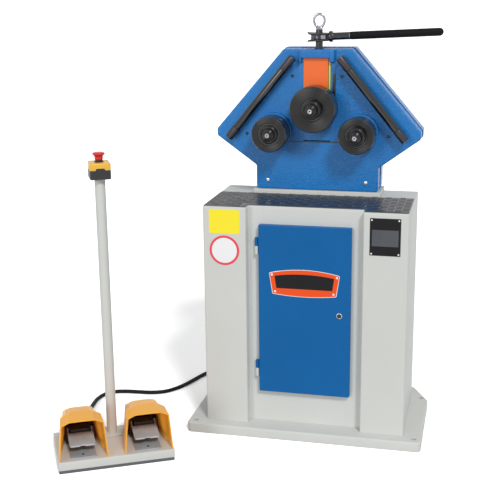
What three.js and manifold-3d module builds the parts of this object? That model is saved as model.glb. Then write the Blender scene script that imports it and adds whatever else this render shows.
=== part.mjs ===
// A three-roll section bending machine: a steel cabinet carries a head with three rolls, and a foot
// pedal station with a stop button stands beside it on its cable. Millimetres, X to the right, Y away
// from the operator, Z up. The origin is the centre of the base's underside, on the floor.
import * as THREE from 'three';
import { mergeVertices } from 'three/addons/utils/BufferGeometryUtils.js';
import Module from 'manifold-3d';

const wasm = await Module();
wasm.setup();

// Shared clearances and facet counts
const gap = 0.3;
const runningGap = 0.5;
const overrun = 2;
const roundSteps = 26;
const smallSteps = 12;
const cornerSteps = 2;

// Base and cabinet
const baseWidth = 802;
const baseDepth = 482;
const baseHeight = 34;
const baseToe = 43;
const baseCornerRadius = 16;
const baseRearCutX = 57;
const baseRearCutY = 116;
const anchorHoleDiameter = 18;
const anchorInsetX = 25;
const anchorInsetFront = 30;
const anchorInsetRear = 102;
const cabinetWidth = 680;
const cabinetDepth = 370;
const cabinetHeight = 761;
const cabinetSheet = 3;
const recessMargin = 38.5;
const recessDepth = 35;
const cabinetCornerRadius = 4;
const rearOpeningWidth = 520;
const rearOpeningHeight = 560;
const rearOpeningBottom = 110;
const rearPanelLap = 16;
const rearPanelSheet = 2;
const matThickness = 4;
const matInset = 3;
const matRearGap = 6;

// Door, hinges and lock
const doorWidth = 309;
const doorHeight = 585;
const doorBottom = 116;
const doorDepth = 22;
const doorSheet = 2.5;
const doorCornerRadius = 3;
const doorLap = 15;
const doorRibSpan = 103;
const doorRibWidth = 6;
const doorRibDepth = 14;
const hingeOffset = 8;
const hingeDepth = 12;
const hingeDiameter = 12;
const hingePinDiameter = 6;
const hingeHalfLength = 29;
const hingeLeaf = 4;
const upperHingeDrop = 44;
const lowerHingeRise = 52;
const lockHeight = 404;
const lockInset = 36;
const lockHeadDiameter = 20;
const lockHeadThickness = 3;
const lockBarrelDiameter = 15;
const lockCamLength = 32;
const lockCamWidth = 14;
const lockCamThickness = 4;

// Head housing
const headSetback = 246;
const headDepth = 124;
const headFrontDepth = 62;
const headTopHalf = 116;
const headHalf = 351;
const neckHalf = 212;
const neckHeight = 82;
const shoulderLow = 183;
const shoulderHigh = 207;
const headHeight = 479;
const headCornerRadius = 8;
const headEdgeBevel = 3;
const rearHousingGrow = 3;
const housingWall = 16;
const frontWall = 20;
const rearWall = 14;
const plinthHeight = 16;
const plinthMargin = 10;
const tappedHoleDiameter = 10;
const tappedHoleDepth = 12;
const upperHoleX = 85;
const upperHoleHeight = 389;
const lowerHoleX = 244;
const lowerHoleHeight = 192;

// Carriage, slot and screw
const slotHalf = 62;
const slotBottom = 170;
const slotEndClearance = 6.5;
const slotGrooveHalf = 100;
const slotGrooveHeight = 4;
const slotGrooveDepth = 3;
const gibWidth = 9;
const carriageGap = 2.5;
const carriageHeight = 169;
const carriageFlange = 13;
const carriageDepth = 60;
const carriageBackWall = 6;
const carriageTravel = 88;
const plateThickness = 3;
const plateLeft = 46;
const plateRight = 38;
const plateHeight = 132;
const plateShaftGap = 5;
const bridgeHalf = 60;
const bridgeProud = 16;
const bridgeHeight = 29;
const bridgeLegWidth = 11;
const bridgeLegDrop = 14;
const bridgeRadius = 4;
const screwSetback = 37;
const screwDiameter = 25;
const screwThreadDepth = 1.6;
const screwThreadPitch = 8;
const threadShares = [0.25, 0.5, 0.75, 1];
const screwFoot = 26;
const screwFootDiameter = 38;
const screwFootThickness = 8;

// Ratchet, lever and lifting eye
const ratchetRise = 25;
const ratchetHeight = 26;
const ratchetPlate = 5.5;
const ratchetRadius = 40;
const ratchetWheelRadius = 28.5;
const ratchetToothDepth = 4;
const ratchetTeeth = 18;
const ratchetWebStart = 29.5;
const ratchetWebEnd = 34.2;
const ratchetWebHalf = 16;
const ratchetButtonDiameter = 12;
const ratchetButtonLength = 5;
const leverTilt = 0.042;
const leverFlangeDiameter = 41;
const leverFlangeThickness = 13;
const leverBarDiameter = 22;
const leverLength = 411;
const leverGripStart = 105;
const leverGripDiameter = 25;
const eyeNeckDiameter = 22;
const eyeNeckHeight = 11;
const eyeRingRadius = 18;
const eyeRingThickness = 8;
const eyeRingStretchShare = 1.19;
const eyeShankHeight = 7.9;
const eyeRingSides = 8;

// Rolls, shafts and gears
const rollSpacing = 294;
const lowerRollHeight = 203;
const topRollHeight = 288;
const lowerRollDiameter = 120;
const topRollDiameter = 153;
const rollWidth = 69;
const rollChamfer = 2;
const rollGrooveWidth = 3;
const rollGrooveDepth = 4;
const rollFrontDisc = 25;
const rollRearDisc = 22;
const rollFaceStep = 2;
const shaftDiameter = 50;
const threadDiameter = 40;
const shaftEndDiameter = 27;
const centreDrillDiameter = 10;
const centreDrillDepth = 5;
const nutWidth = 62;
const longNutLength = 26;
const shortNutLength = 12;
const longShaftEnd = 48;
const shortShaftEnd = 28;
const bearingCapDiameter = 127;
const bearingCapLength = 24;
const rollClearance = 5;
const gearModule = 5;
const gearRootShare = 1.25;
const rollGearTeeth = 26;
const driveGearTeeth = 40;
const gearWidth = 20;
const gearBacklash = 1;
const meshShare = 0.5;
const gearSetback = 10;
const involuteSteps = 1;
const pressureAngle = 20;
const driveShaftDiameter = 34;
const drivePocket = 8;
const shaftPocket = 9.3;
const sprocketWidth = 8;
const driveSprocketTeeth = 16;
const motorSprocketTeeth = 12;
const sprocketToothDepth = 2.5;
const sprocketToothAngleShares = [0.125, 0.375, 0.625, 0.875];
const chainPitch = 15.875;
const chainWidth = 14;
const chainThickness = 10;
const chainPlaneSetback = 69.5;

// Drive and control in the cabinet
const gearboxWidth = 140;
const gearboxDepth = 100;
const gearboxHeight = 150;
const gearboxStub = 25;
const gearboxShaftDrop = 92;
const gearboxShaftDiameter = 25;
const motorDiameter = 150;
const motorWallClearance = 41.7;
const motorLip = 7.5;
const motorRise = 40;
const controlBoxWidth = 100;
const controlBoxDepth = 200;
const controlBoxHeight = 250;
const controlBoxBottom = 366;
const controlBoxRadius = 6;
const controlBoxAhead = 50;
const chainOpeningHalf = 66;
const chainOpeningDepth = 30;

// Guide bars
const guideBarDiameter = 27;
const guideBarStandoff = 30;
const guideBarTopX = 78;
const guideBarTopHeight = 454;
const guideBarEndX = 302;
const guideBarEndHeight = 181;
const guideBarGroove = 2.5;
const guideBarPostDiameter = 20;
const guideBarPostShares = [0.1, 0.9];
const guideBarGrooveShares = [0.15, 0.87];

// Pedal station
const stationAngle = 28;
const stationX = -597;
const stationY = -443;
const trayWidth = 375;
const trayDepth = 236;
const trayHeight = 28;
const trayCornerRadius = 4;
const padThickness = 10.5;
const padInset = 1;
const postDiameter = 33.7;
const postWall = 3;
const postHeight = 875;
const postSetback = 61;
const postOffset = 6;
const postPlateSize = 60;
const postPlateThickness = 5;
const pedalSpacing = 210;
const guardHalf = 79.5;
const guardHeight = 134;
const guardThickness = 4;
const guardFront = 112;
const guardSetbacks = [0, 60, 80, 130, 196];
const guardWidthShares = [1, 0.965, 0.86, 0.755, 0.72];
const guardHeightShares = [1, 1.02, 1.01, 0.95, 0.7];
const guardTopShares = [0.52, 0.5, 0.42, 0.42, 0.46];
const guardShoulderWidthShares = [0.865, 0.85, 0.7, 0.74, 0.86];
const guardShoulderHeightShares = [0.91, 0.92, 0.955, 0.965, 0.93];
const pedalPlateHalf = 42;
const pedalPlateFront = 104;
const pedalPlateRear = 62;
const pedalPlateThickness = 5;
const pedalPlateRadius = 9;
const switchBodyHalf = 32;
const switchBodyFront = 2;
const switchBodyRear = 56;
const switchBodyHeight = 50;
const switchEarHalf = 46;
const switchEarThickness = 4;
const switchEarFront = 2;
const switchEarRise = 16;
const treadleHalf = 41.5;
const treadleArmWidth = 5;
const treadleThickness = 4;
const treadleRound = 1;
const treadleFront = 82;
const treadleFrontHeight = 36;
const treadleBack = 2;
const treadlePivotSetback = 18;
const treadlePivotHeight = 48;
const treadlePinDiameter = 10;
const treadleLip = 5;
const treadleBossRadius = 8;
const treadleNotchRadius = 9;
const treadleNotchDepth = 5;

// Stop button on the post
const stopBoxWidth = 66;
const stopBoxDepth = 72;
const stopBoxHeight = 29;
const stopBoxRadius = 6;
const stopBoxWall = 3;
const stopCoverHeight = 23;
const stopTabHeight = 7;
const stopTabTop = 24;
const stopTabBase = 32;
const stopCoverChamfer = 5;
const stopAdapterHeight = 6;
const stopCollarDiameter = 30;
const stopCollarHeight = 2;
const stopPlungerDiameter = 24;
const stopBoreDiameter = 16;
const stopPlungerDepth = 22;
const stopStemDiameter = 27;
const stopHeadDiameter = 40;
const stopHeadHeight = 24;
const stopHeadRim = 6;
const stopHeadShares = [[1, 0], [1, 0.5], [0.75, 0.833]];
const stopTravel = 5;

// Cable and its glands
const cableDiameter = 14;
const cableSides = 8;
const cableSteps = 60;
const glandThreadDiameter = 20;
const glandHexWidth = 27;
const glandHexThickness = 7;
const glandDomeDiameter = 23;
const glandLength = 26;
const glandInside = 8;
const cableGlandX = -200;
const mainsGlandX = -120;
const glandHeight = 30;
const pedalGlandHeight = 24;
const pedalGlandLength = 42;

// Levels and planes that several pieces share
const cabinetFrontY = -baseDepth / 2 + baseToe;
const cabinetBackY = cabinetFrontY + cabinetDepth;
const cabinetBottomZ = baseHeight + gap;
const cabinetTopZ = cabinetBottomZ + cabinetHeight;
const recessY = cabinetFrontY + recessDepth;
const recessHalf = doorWidth / 2 + recessMargin;
const headFaceY = cabinetFrontY + headSetback;
const headSeamY = headFaceY + headFrontDepth;
const headBackY = headFaceY + headDepth;
const headZ = cabinetTopZ + plinthHeight + gap;
const headTopZ = headZ + headHeight;
const frontWallInnerY = headFaceY + frontWall;
const rearWallInnerY = headBackY - rearWall;
const lowerRollX = rollSpacing / 2;
const lowerRollZ = headZ + lowerRollHeight;
const topRollZ = headZ + topRollHeight;
const rollRearY = headFaceY - bearingCapLength - rollClearance;
const rollFrontY = rollRearY - rollWidth;
const slotBottomZ = headZ + slotBottom;
const carriageHalf = slotHalf - gibWidth - 2 * gap;
const carriageBottomZ = slotBottomZ + carriageGap;
const carriageTopZ = carriageBottomZ + carriageHeight;
const slotTopZ = carriageTopZ + carriageTravel + slotEndClearance;
const carriageBackY = headFaceY + carriageDepth;
const screwY = headFaceY + screwSetback;
const chainY = headFaceY + chainPlaneSetback;
const gearCentreDistance = gearModule * (rollGearTeeth + driveGearTeeth) / 2;
const driveZ = lowerRollZ - Math.sqrt(gearCentreDistance ** 2 - lowerRollX ** 2);
const gearRearY = rearWallInnerY - gearSetback;
const gearFrontY = gearRearY - gearWidth;
const gearboxTopZ = cabinetTopZ - cabinetSheet - gap;
const motorSprocketZ = gearboxTopZ - gearboxShaftDrop;
const pocketFloorY = rearWallInnerY + shaftPocket;

// Geometry helpers: every shape becomes a closed solid with its faces out
function closedMesh(geometry) {
  const plain = geometry.clone();
  plain.deleteAttribute('normal');
  plain.deleteAttribute('uv');
  const merged = mergeVertices(plain);
  const corners = merged.index.array;
  const kept = [];
  for (let i = 0; i < corners.length; i += 3) {
    const [a, b, c] = [corners[i], corners[i + 1], corners[i + 2]];
    if (a !== b && b !== c && c !== a) kept.push(a, b, c);
  }
  return { points: merged.attributes.position.array, corners: Uint32Array.from(kept) };
}

function signedVolume(points, corners) {
  const at = (i) => new THREE.Vector3().fromArray(points, i * 3);
  let total = 0;
  for (let i = 0; i < corners.length; i += 3) {
    total += at(corners[i]).dot(at(corners[i + 1]).cross(at(corners[i + 2])));
  }
  return total;
}

function toSolid(geometry) {
  const { points, corners } = closedMesh(geometry);
  if (signedVolume(points, corners) < 0) {
    for (let i = 0; i < corners.length; i += 3) {
      [corners[i], corners[i + 1]] = [corners[i + 1], corners[i]];
    }
  }
  return new wasm.Manifold(new wasm.Mesh({ numProp: 3, vertProperties: points, triVerts: corners }));
}

function toGeometry(solid) {
  const result = solid.getMesh();
  const geometry = new THREE.BufferGeometry();
  geometry.setAttribute('position', new THREE.BufferAttribute(result.vertProperties, 3));
  geometry.setIndex(new THREE.BufferAttribute(result.triVerts, 1));
  geometry.computeVertexNormals();
  return geometry;
}

const axisFrames = {
  x: [[0, 1, 0], [0, 0, 1], [1, 0, 0]],
  y: [[1, 0, 0], [0, 0, 1], [0, -1, 0]],
  z: [[1, 0, 0], [0, 1, 0], [0, 0, 1]],
};

// Turns geometry drawn in the XY plane and grown along Z to lie across the named axis
function acrossAxis(geometry, axis) {
  const columns = axisFrames[axis].map((column) => new THREE.Vector3(...column));
  return geometry.applyMatrix4(new THREE.Matrix4().makeBasis(...columns));
}

// A box from its range along each axis
function block(x, y, z) {
  const size = [x, y, z].map(([low, high]) => high - low);
  const middle = [x, y, z].map(([low, high]) => (low + high) / 2);
  return toSolid(new THREE.BoxGeometry(...size).translate(...middle));
}

// A box centred on x with the given half width
function centredBlock(half, y, z, x = 0) {
  return block([x - half, x + half], y, z);
}

// An outline drawn across the axis and grown along it from one value to another
function prism(axis, outline, from, to) {
  const shape = new THREE.Shape(outline.map(([a, b]) => new THREE.Vector2(a, b)));
  const geometry = new THREE.ExtrudeGeometry(shape, { depth: to - from, bevelEnabled: false });
  acrossAxis(geometry, axis);
  const shift = axis === 'y' ? to : from;
  const direction = { x: [1, 0, 0], y: [0, 1, 0], z: [0, 0, 1] }[axis];
  return toSolid(geometry.translate(...direction.map((unit) => unit * shift)));
}

// A body of revolution: the profile gives [radius, place along the axis], from axis to axis
function turned(axis, profile, [a, b] = [0, 0], steps = roundSteps, place = new THREE.Matrix4()) {
  const points = profile.map(([radius, along]) => new THREE.Vector2(radius, along));
  const geometry = new THREE.LatheGeometry(points, steps);
  const turns = { x: [0, 0, -Math.PI / 2], y: [0, 0, 0], z: [Math.PI / 2, 0, 0] }[axis];
  geometry.applyMatrix4(new THREE.Matrix4().makeRotationFromEuler(new THREE.Euler(...turns)));
  const places = { x: [0, a, b], y: [a, 0, b], z: [a, b, 0] }[axis];
  return toSolid(geometry.translate(...places).applyMatrix4(place));
}

// A cylinder along the axis, at the centre given by its other two coordinates
function cylinder(axis, radius, from, to, centre, steps = roundSteps) {
  return turned(axis, [[0, from], [radius, from], [radius, to], [0, to]], centre, steps);
}

// The outline with each corner replaced by an arc of its radius
function rounded(outline, radius, steps = cornerSteps) {
  const count = outline.length;
  const result = [];
  outline.forEach(([x, y], i) => {
    const corner = new THREE.Vector2(x, y);
    const before = new THREE.Vector2(...outline[(i + count - 1) % count]).sub(corner);
    const after = new THREE.Vector2(...outline[(i + 1) % count]).sub(corner);
    const bend = Math.abs(before.angleTo(after));
    const reach = Math.min(radius / Math.tan(bend / 2), before.length() / 2, after.length() / 2);
    const start = before.clone().setLength(reach);
    const end = after.clone().setLength(reach);
    const middle = start.clone().add(end);
    const away = reach / Math.cos(bend / 2);
    const centre = middle.setLength(away);
    const first = Math.atan2(start.y - centre.y, start.x - centre.x);
    let sweep = Math.atan2(end.y - centre.y, end.x - centre.x) - first;
    if (sweep > Math.PI) sweep -= 2 * Math.PI;
    if (sweep < -Math.PI) sweep += 2 * Math.PI;
    const arm = start.distanceTo(centre);
    for (let step = 0; step <= steps; step += 1) {
      const angle = first + sweep * step / steps;
      result.push([x + centre.x + arm * Math.cos(angle), y + centre.y + arm * Math.sin(angle)]);
    }
  });
  return result;
}

// Anticlockwise rectangle from its two ranges
function rectangle([x0, x1], [y0, y1]) {
  return [[x0, y0], [x1, y0], [x1, y1], [x0, y1]];
}

// The outline moved inwards by the distance along each edge's normal, for anticlockwise outlines
function inset(outline, distance) {
  const count = outline.length;
  return outline.map(([x, y], i) => {
    const [px, py] = outline[(i + count - 1) % count];
    const [nx, ny] = outline[(i + 1) % count];
    const before = new THREE.Vector2(x - px, y - py).normalize();
    const after = new THREE.Vector2(nx - x, ny - y).normalize();
    const normal = new THREE.Vector2(-before.y, before.x).add(new THREE.Vector2(-after.y, after.x));
    const scale = 2 * distance / normal.lengthSq();
    return [x + normal.x * scale, y + normal.y * scale];
  });
}

// A solid skinned over cross-sections that have the same number of corners
function loft(sections) {
  const count = sections[0].length;
  const points = sections.flat(2);
  const corners = [];
  for (let s = 0; s + 1 < sections.length; s += 1) {
    for (let i = 0; i < count; i += 1) {
      const [a, b] = [s * count + i, s * count + (i + 1) % count];
      corners.push(a, b, b + count, a, b + count, a + count);
    }
  }
  const last = (sections.length - 1) * count;
  for (let i = 1; i + 1 < count; i += 1) {
    corners.push(0, i + 1, i, last, last + i, last + i + 1);
  }
  const geometry = new THREE.BufferGeometry();
  geometry.setAttribute('position', new THREE.BufferAttribute(new Float32Array(points), 3));
  geometry.setIndex(corners);
  return toSolid(geometry);
}

// Finishes and the scene graph
const finishes = {
  greyPaint: [0xcdcfcb, 0.5, 0.1],
  bluePaint: [0x1f6fb5, 0.4, 0.1],
  blackSteel: [0x1c1c1e, 0.35, 0.7],
  brightSteel: [0xb9bcc0, 0.25, 1],
  castIron: [0x55585c, 0.6, 0.6],
  rubber: [0x2b2b2d, 0.85, 0],
  orangePlate: [0xf26a21, 0.5, 0],
  guardOrange: [0xf0a032, 0.5, 0],
  treadleGrey: [0x9a9c9c, 0.5, 0.3],
  coverYellow: [0xf2c33c, 0.45, 0],
  stopRed: [0xd3222e, 0.35, 0],
  blackPlastic: [0x232326, 0.55, 0],
  motorPaint: [0x3f5f7c, 0.5, 0.1],
};

const group = new THREE.Group();
const station = new THREE.Group();
station.position.set(stationX, stationY, 0);
station.rotation.z = THREE.MathUtils.degToRad(stationAngle);
group.add(station);

// Puts a finished solid into the scene graph under its name
function add(name, solid, finish, parent = group) {
  const [color, roughness, metalness] = finishes[finish];
  const material = new THREE.MeshStandardMaterial({ color, roughness, metalness });
  const mesh = new THREE.Mesh(toGeometry(solid), material);
  mesh.name = name;
  parent.add(mesh);
  return mesh;
}

const sides = { left: -1, right: 1 };

// Base plate with cut rear corners and four anchor holes
function makeBase() {
  const half = baseWidth / 2;
  const [front, back] = [-baseDepth / 2, baseDepth / 2];
  const cutX = half - baseRearCutX;
  const cutY = back - baseRearCutY;
  const outline = [[-half, front], [half, front], [half, cutY], [cutX, back], [-cutX, back], [-half, cutY]];
  let solid = prism('z', rounded(outline, baseCornerRadius), 0, baseHeight);
  for (const side of Object.values(sides)) {
    for (const y of [front + anchorInsetFront, back - anchorInsetRear]) {
      const centre = [side * (half - anchorInsetX), y];
      const hole = cylinder('z', anchorHoleDiameter / 2, -overrun, baseHeight + overrun, centre, smallSteps);
      solid = solid.subtract(hole);
    }
  }
  add('base_plate', solid, 'greyPaint');
}

// The cabinet's plan: two front columns with a recess between them
function cabinetOutline(margin) {
  const half = cabinetWidth / 2 - margin;
  const front = cabinetFrontY + margin;
  const back = cabinetBackY - margin;
  const recess = recessHalf + margin;
  const deep = recessY + margin;
  return [
    [-half, front], [-recess, front], [-recess, deep], [recess, deep],
    [recess, front], [half, front], [half, back], [-half, back],
  ];
}

const upperHingeHeight = doorBottom + doorHeight - upperHingeDrop - 2 * hingeHalfLength;
const lowerHingeHeight = doorBottom + lowerHingeRise;
const hingeX = -doorWidth / 2 - hingeOffset;
const hingeY = recessY - gap - hingeDepth;

// Lowest and highest level of a hinge's fixed lower half or lifted upper half
function hingeHalf(height, upper) {
  const middle = cabinetBottomZ + height + hingeHalfLength;
  const [low, high] = upper ? [middle + gap, middle + hingeHalfLength] : [middle - hingeHalfLength, middle];
  return [low, high];
}

// Cabinet shell with the head's plinth and its hinge halves, and the panel over its rear opening
function makeCabinet() {
  const plan = rounded(cabinetOutline(0), cabinetCornerRadius);
  let solid = prism('z', plan, cabinetBottomZ, cabinetTopZ);
  solid = solid.subtract(prism('z', cabinetOutline(cabinetSheet), cabinetBottomZ - overrun,
    cabinetTopZ - cabinetSheet));
  const doorway = rectangle([-doorWidth / 2 + doorLap, doorWidth / 2 - doorLap],
    [cabinetBottomZ + doorBottom + doorLap, cabinetBottomZ + doorBottom + doorHeight - doorLap]);
  solid = solid.subtract(prism('y', doorway, recessY - overrun, recessY + cabinetSheet + overrun));
  const rearZ = cabinetBottomZ + rearOpeningBottom;
  solid = solid.subtract(centredBlock(rearOpeningWidth / 2,
    [cabinetBackY - cabinetSheet - overrun, cabinetBackY + overrun], [rearZ, rearZ + rearOpeningHeight]));
  solid = solid.subtract(centredBlock(chainOpeningHalf,
    [chainY - chainOpeningDepth / 2, chainY + chainOpeningDepth / 2],
    [cabinetTopZ - cabinetSheet - overrun, cabinetTopZ + overrun]));
  const plinth = block([-neckHalf - plinthMargin, neckHalf + plinthMargin],
    [headFaceY - plinthMargin, headBackY], [cabinetTopZ - cabinetSheet / 2, cabinetTopZ + plinthHeight]);
  solid = solid.add(plinth.subtract(centredBlock(chainOpeningHalf,
    [chainY - chainOpeningDepth / 2, chainY + chainOpeningDepth / 2],
    [cabinetTopZ - cabinetSheet - overrun, cabinetTopZ + plinthHeight + overrun])));
  for (const x of [cableGlandX, mainsGlandX]) {
    solid = solid.subtract(cylinder('y', glandThreadDiameter / 2 + gap,
      cabinetBackY - cabinetSheet - overrun, cabinetBackY + overrun,
      [x, cabinetBottomZ + glandHeight], smallSteps));
  }
  for (const height of [upperHingeHeight, lowerHingeHeight]) {
    const [low, high] = hingeHalf(height, false);
    const pinTop = hingeHalf(height, true)[1] - overrun;
    const knuckle = cylinder('z', hingeDiameter / 2, low, high, [hingeX, hingeY], smallSteps);
    const leaf = block([hingeX - hingeDiameter / 2, hingeX - hingeDiameter / 2 + hingeLeaf],
      [hingeY, recessY + cabinetSheet / 2], [low, high]);
    const pin = cylinder('z', hingePinDiameter / 2, low, pinTop, [hingeX, hingeY], smallSteps);
    solid = solid.add(knuckle).add(leaf).add(pin);
  }
  add('cabinet_shell', solid, 'greyPaint');

  const panel = centredBlock(rearOpeningWidth / 2 + rearPanelLap,
    [cabinetBackY + gap, cabinetBackY + gap + rearPanelSheet],
    [rearZ - rearPanelLap, rearZ + rearOpeningHeight + rearPanelLap]);
  add('rear_panel', panel, 'greyPaint');
}

// Ribbed mat on the cabinet's top, following the columns and the recess
function makeMat() {
  const half = cabinetWidth / 2 - matInset;
  const front = cabinetFrontY + matInset;
  const recess = recessHalf + matInset;
  const deep = recessY + matInset;
  const back = headFaceY - plinthMargin - matRearGap;
  const outline = [
    [-half, front], [-recess, front], [-recess, deep], [recess, deep],
    [recess, front], [half, front], [half, back], [-half, back],
  ];
  const low = cabinetTopZ + gap;
  add('top_mat', prism('z', rounded(outline, matInset), low, low + matThickness), 'rubber');
}

// Door pan with its ribs and lift-off hinge halves
function makeDoor() {
  const back = recessY - gap;
  const front = back - doorDepth;
  const low = cabinetBottomZ + doorBottom;
  const outer = rectangle([-doorWidth / 2, doorWidth / 2], [low, low + doorHeight]);
  const inner = rectangle([-doorWidth / 2 + doorSheet, doorWidth / 2 - doorSheet],
    [low + doorSheet, low + doorHeight - doorSheet]);
  let solid = prism('y', rounded(outer, doorCornerRadius), front, back);
  solid = solid.subtract(prism('y', inner, front + doorSheet, back + overrun));
  for (const side of Object.values(sides)) {
    const x = side * doorRibSpan / 2;
    solid = solid.add(block([x - doorRibWidth / 2, x + doorRibWidth / 2],
      [front + doorSheet / 2, front + doorRibDepth],
      [low + doorSheet / 2, low + doorHeight - doorSheet / 2]));
  }
  for (const height of [upperHingeHeight, lowerHingeHeight]) {
    const [bottom, top] = hingeHalf(height, true);
    const knuckle = cylinder('z', hingeDiameter / 2, bottom, top, [hingeX, hingeY], smallSteps);
    const leaf = block([hingeX, -doorWidth / 2 + doorSheet / 2],
      [hingeY - hingeLeaf / 2, hingeY + hingeLeaf / 2], [bottom, top]);
    const bore = cylinder('z', hingePinDiameter / 2 + gap, bottom - overrun, top - overrun / 2,
      [hingeX, hingeY], smallSteps);
    solid = solid.add(knuckle).add(leaf).subtract(bore);
  }
  const lockCentre = [doorWidth / 2 - lockInset, low + lockHeight - doorBottom];
  solid = solid.subtract(cylinder('y', lockBarrelDiameter / 2 + gap, front - overrun, back + overrun,
    lockCentre, smallSteps));
  add('door_panel', solid, 'bluePaint');

  const camY = recessY + cabinetSheet + runningGap;
  const cam = block([lockCentre[0] - lockCamWidth / 2, lockCentre[0] + lockCamWidth / 2],
    [camY, camY + lockCamThickness], [lockCentre[1] - lockCamWidth / 2, lockCentre[1] + lockCamLength]);
  const lock = cylinder('y', lockHeadDiameter / 2, front - gap - lockHeadThickness, front - gap,
    lockCentre, smallSteps)
    .add(cylinder('y', lockBarrelDiameter / 2, front - gap - lockHeadThickness / 2,
      camY + lockCamThickness / 2, lockCentre, smallSteps)).add(cam);
  add('door_lock', lock, 'brightSteel');
}

// The head's outline from the front, anticlockwise from its lower left corner
function headOutline(grow) {
  const [top, side, neck] = [headTopHalf + grow, headHalf + grow, neckHalf + grow];
  return [
    [-neck, headZ], [neck, headZ], [neck, headZ + neckHeight], [side, headZ + shoulderLow],
    [side, headZ + shoulderHigh], [top, headTopZ + grow], [-top, headTopZ + grow],
    [-side, headZ + shoulderHigh], [-side, headZ + shoulderLow], [-neck, headZ + neckHeight],
  ];
}

// Space for the chain through the head's floor
function chainPassage() {
  return centredBlock(chainOpeningHalf, [chainY - chainOpeningDepth / 2, chainY + chainOpeningDepth / 2],
    [headZ - overrun, headZ + housingWall + overrun]);
}

// Front housing with the carriage's slot, the shaft holes and the tapped holes for attachments
function makeHeadFront() {
  const front = rounded(headOutline(0), headCornerRadius);
  const face = rounded(headOutline(-headEdgeBevel).map(([x, z], i) => [x, i < 2 ? headZ : z]),
    headCornerRadius - headEdgeBevel);
  const section = (outline, y) => outline.map(([x, z]) => [x, y, z]);
  const bevel = loftOutline(section(face, headFaceY), section(front, headFaceY + headEdgeBevel));
  let solid = prism('y', front, headFaceY + headEdgeBevel, headSeamY).add(bevel);
  const cavity = inset(headOutline(0), housingWall);
  solid = solid.subtract(cylinder('y', driveShaftDiameter / 2 + runningGap, frontWallInnerY - drivePocket,
    frontWallInnerY + overrun, [0, driveZ]));
  solid = solid.subtract(prism('y', cavity, frontWallInnerY, headSeamY + overrun));
  solid = solid.subtract(centredBlock(slotHalf, [headFaceY - overrun, frontWallInnerY + overrun],
    [slotBottomZ, slotTopZ]));
  solid = solid.subtract(centredBlock(slotGrooveHalf, [headFaceY - overrun, headFaceY + slotGrooveDepth],
    [slotBottomZ - slotGrooveHeight + gap, slotBottomZ + gap]));
  solid = solid.subtract(cylinder('z', screwDiameter / 2 + runningGap, headTopZ - housingWall - overrun,
    headTopZ + overrun, [0, screwY], smallSteps));
  for (const side of Object.values(sides)) {
    solid = solid.subtract(cylinder('y', shaftDiameter / 2 + runningGap, headFaceY - overrun,
      frontWallInnerY + overrun, [side * lowerRollX, lowerRollZ]));
    for (const [x, z] of [[upperHoleX, upperHoleHeight], [lowerHoleX, lowerHoleHeight]]) {
      solid = solid.subtract(cylinder('y', tappedHoleDiameter / 2, headFaceY - overrun,
        headFaceY + tappedHoleDepth, [side * x, headZ + z], smallSteps));
    }
  }
  add('head_front_housing', solid.subtract(chainPassage()), 'bluePaint');
}

// A short solid between two outlines with the same number of points, which need not be convex
function loftOutline(first, second) {
  const count = first.length;
  const flat = first.map(([x, , z]) => new THREE.Vector2(x, z));
  const faces = THREE.ShapeUtils.triangulateShape(flat, []);
  const corners = [];
  for (const [a, b, c] of faces) corners.push(a, b, c, count + a, count + c, count + b);
  for (let i = 0; i < count; i += 1) {
    const j = (i + 1) % count;
    corners.push(i, count + i, count + j, i, count + j, j);
  }
  const geometry = new THREE.BufferGeometry();
  const points = [...first, ...second].flat();
  geometry.setAttribute('position', new THREE.BufferAttribute(new Float32Array(points), 3));
  geometry.setIndex(corners);
  return toSolid(geometry);
}

// Rear housing, with a blind seat for each shaft's rear bearing
function makeHeadRear() {
  const outline = rounded(headOutline(rearHousingGrow).map(([x, z], i) => [x, i < 2 ? headZ : z]),
    headCornerRadius);
  const front = headSeamY + gap;
  let solid = prism('y', outline, front, headBackY);
  solid = solid.subtract(prism('y', inset(headOutline(0), housingWall), front - overrun, rearWallInnerY));
  const places = [[-lowerRollX, lowerRollZ], [lowerRollX, lowerRollZ], [0, driveZ]];
  const radii = [shaftDiameter / 2, shaftDiameter / 2, driveShaftDiameter / 2];
  places.forEach((centre, i) => {
    solid = solid.subtract(cylinder('y', radii[i] + runningGap, rearWallInnerY - overrun, pocketFloorY,
      centre));
  });
  add('head_rear_housing', solid.subtract(chainPassage()), 'bluePaint');
}

// Bridge over the slot's top, with a leg on each side of the marking plate
function makeBridge() {
  const back = headFaceY - gap;
  const front = headFaceY - bridgeProud;
  const low = headTopZ - bridgeHeight;
  const inner = bridgeHalf - bridgeLegWidth;
  const outline = [
    [-bridgeHalf, low - bridgeLegDrop], [-inner, low - bridgeLegDrop], [-inner, low], [inner, low],
    [inner, low - bridgeLegDrop], [bridgeHalf, low - bridgeLegDrop], [bridgeHalf, headTopZ - gap],
    [-bridgeHalf, headTopZ - gap],
  ];
  let solid = prism('y', rounded(outline, bridgeRadius), front, back);
  const passage = plateThickness + 3 * gap;
  solid = solid.subtract(block([-plateLeft - gap, plateRight + gap], [back - passage, back + overrun],
    [low - bridgeLegDrop - overrun, headTopZ + overrun]));
  add('screw_bridge', solid, 'bluePaint');
}

// The two numbers in rising order
function rising(first, second) {
  return first < second ? [first, second] : [second, first];
}

// Radius of a faceted bore whose flats clear a round piece by the clearance
function boreRadius(radius, clearance, steps) {
  return (radius + clearance) / Math.cos(Math.PI / steps);
}

const screwFootTopZ = carriageTopZ - screwFoot + screwFootThickness;

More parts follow.
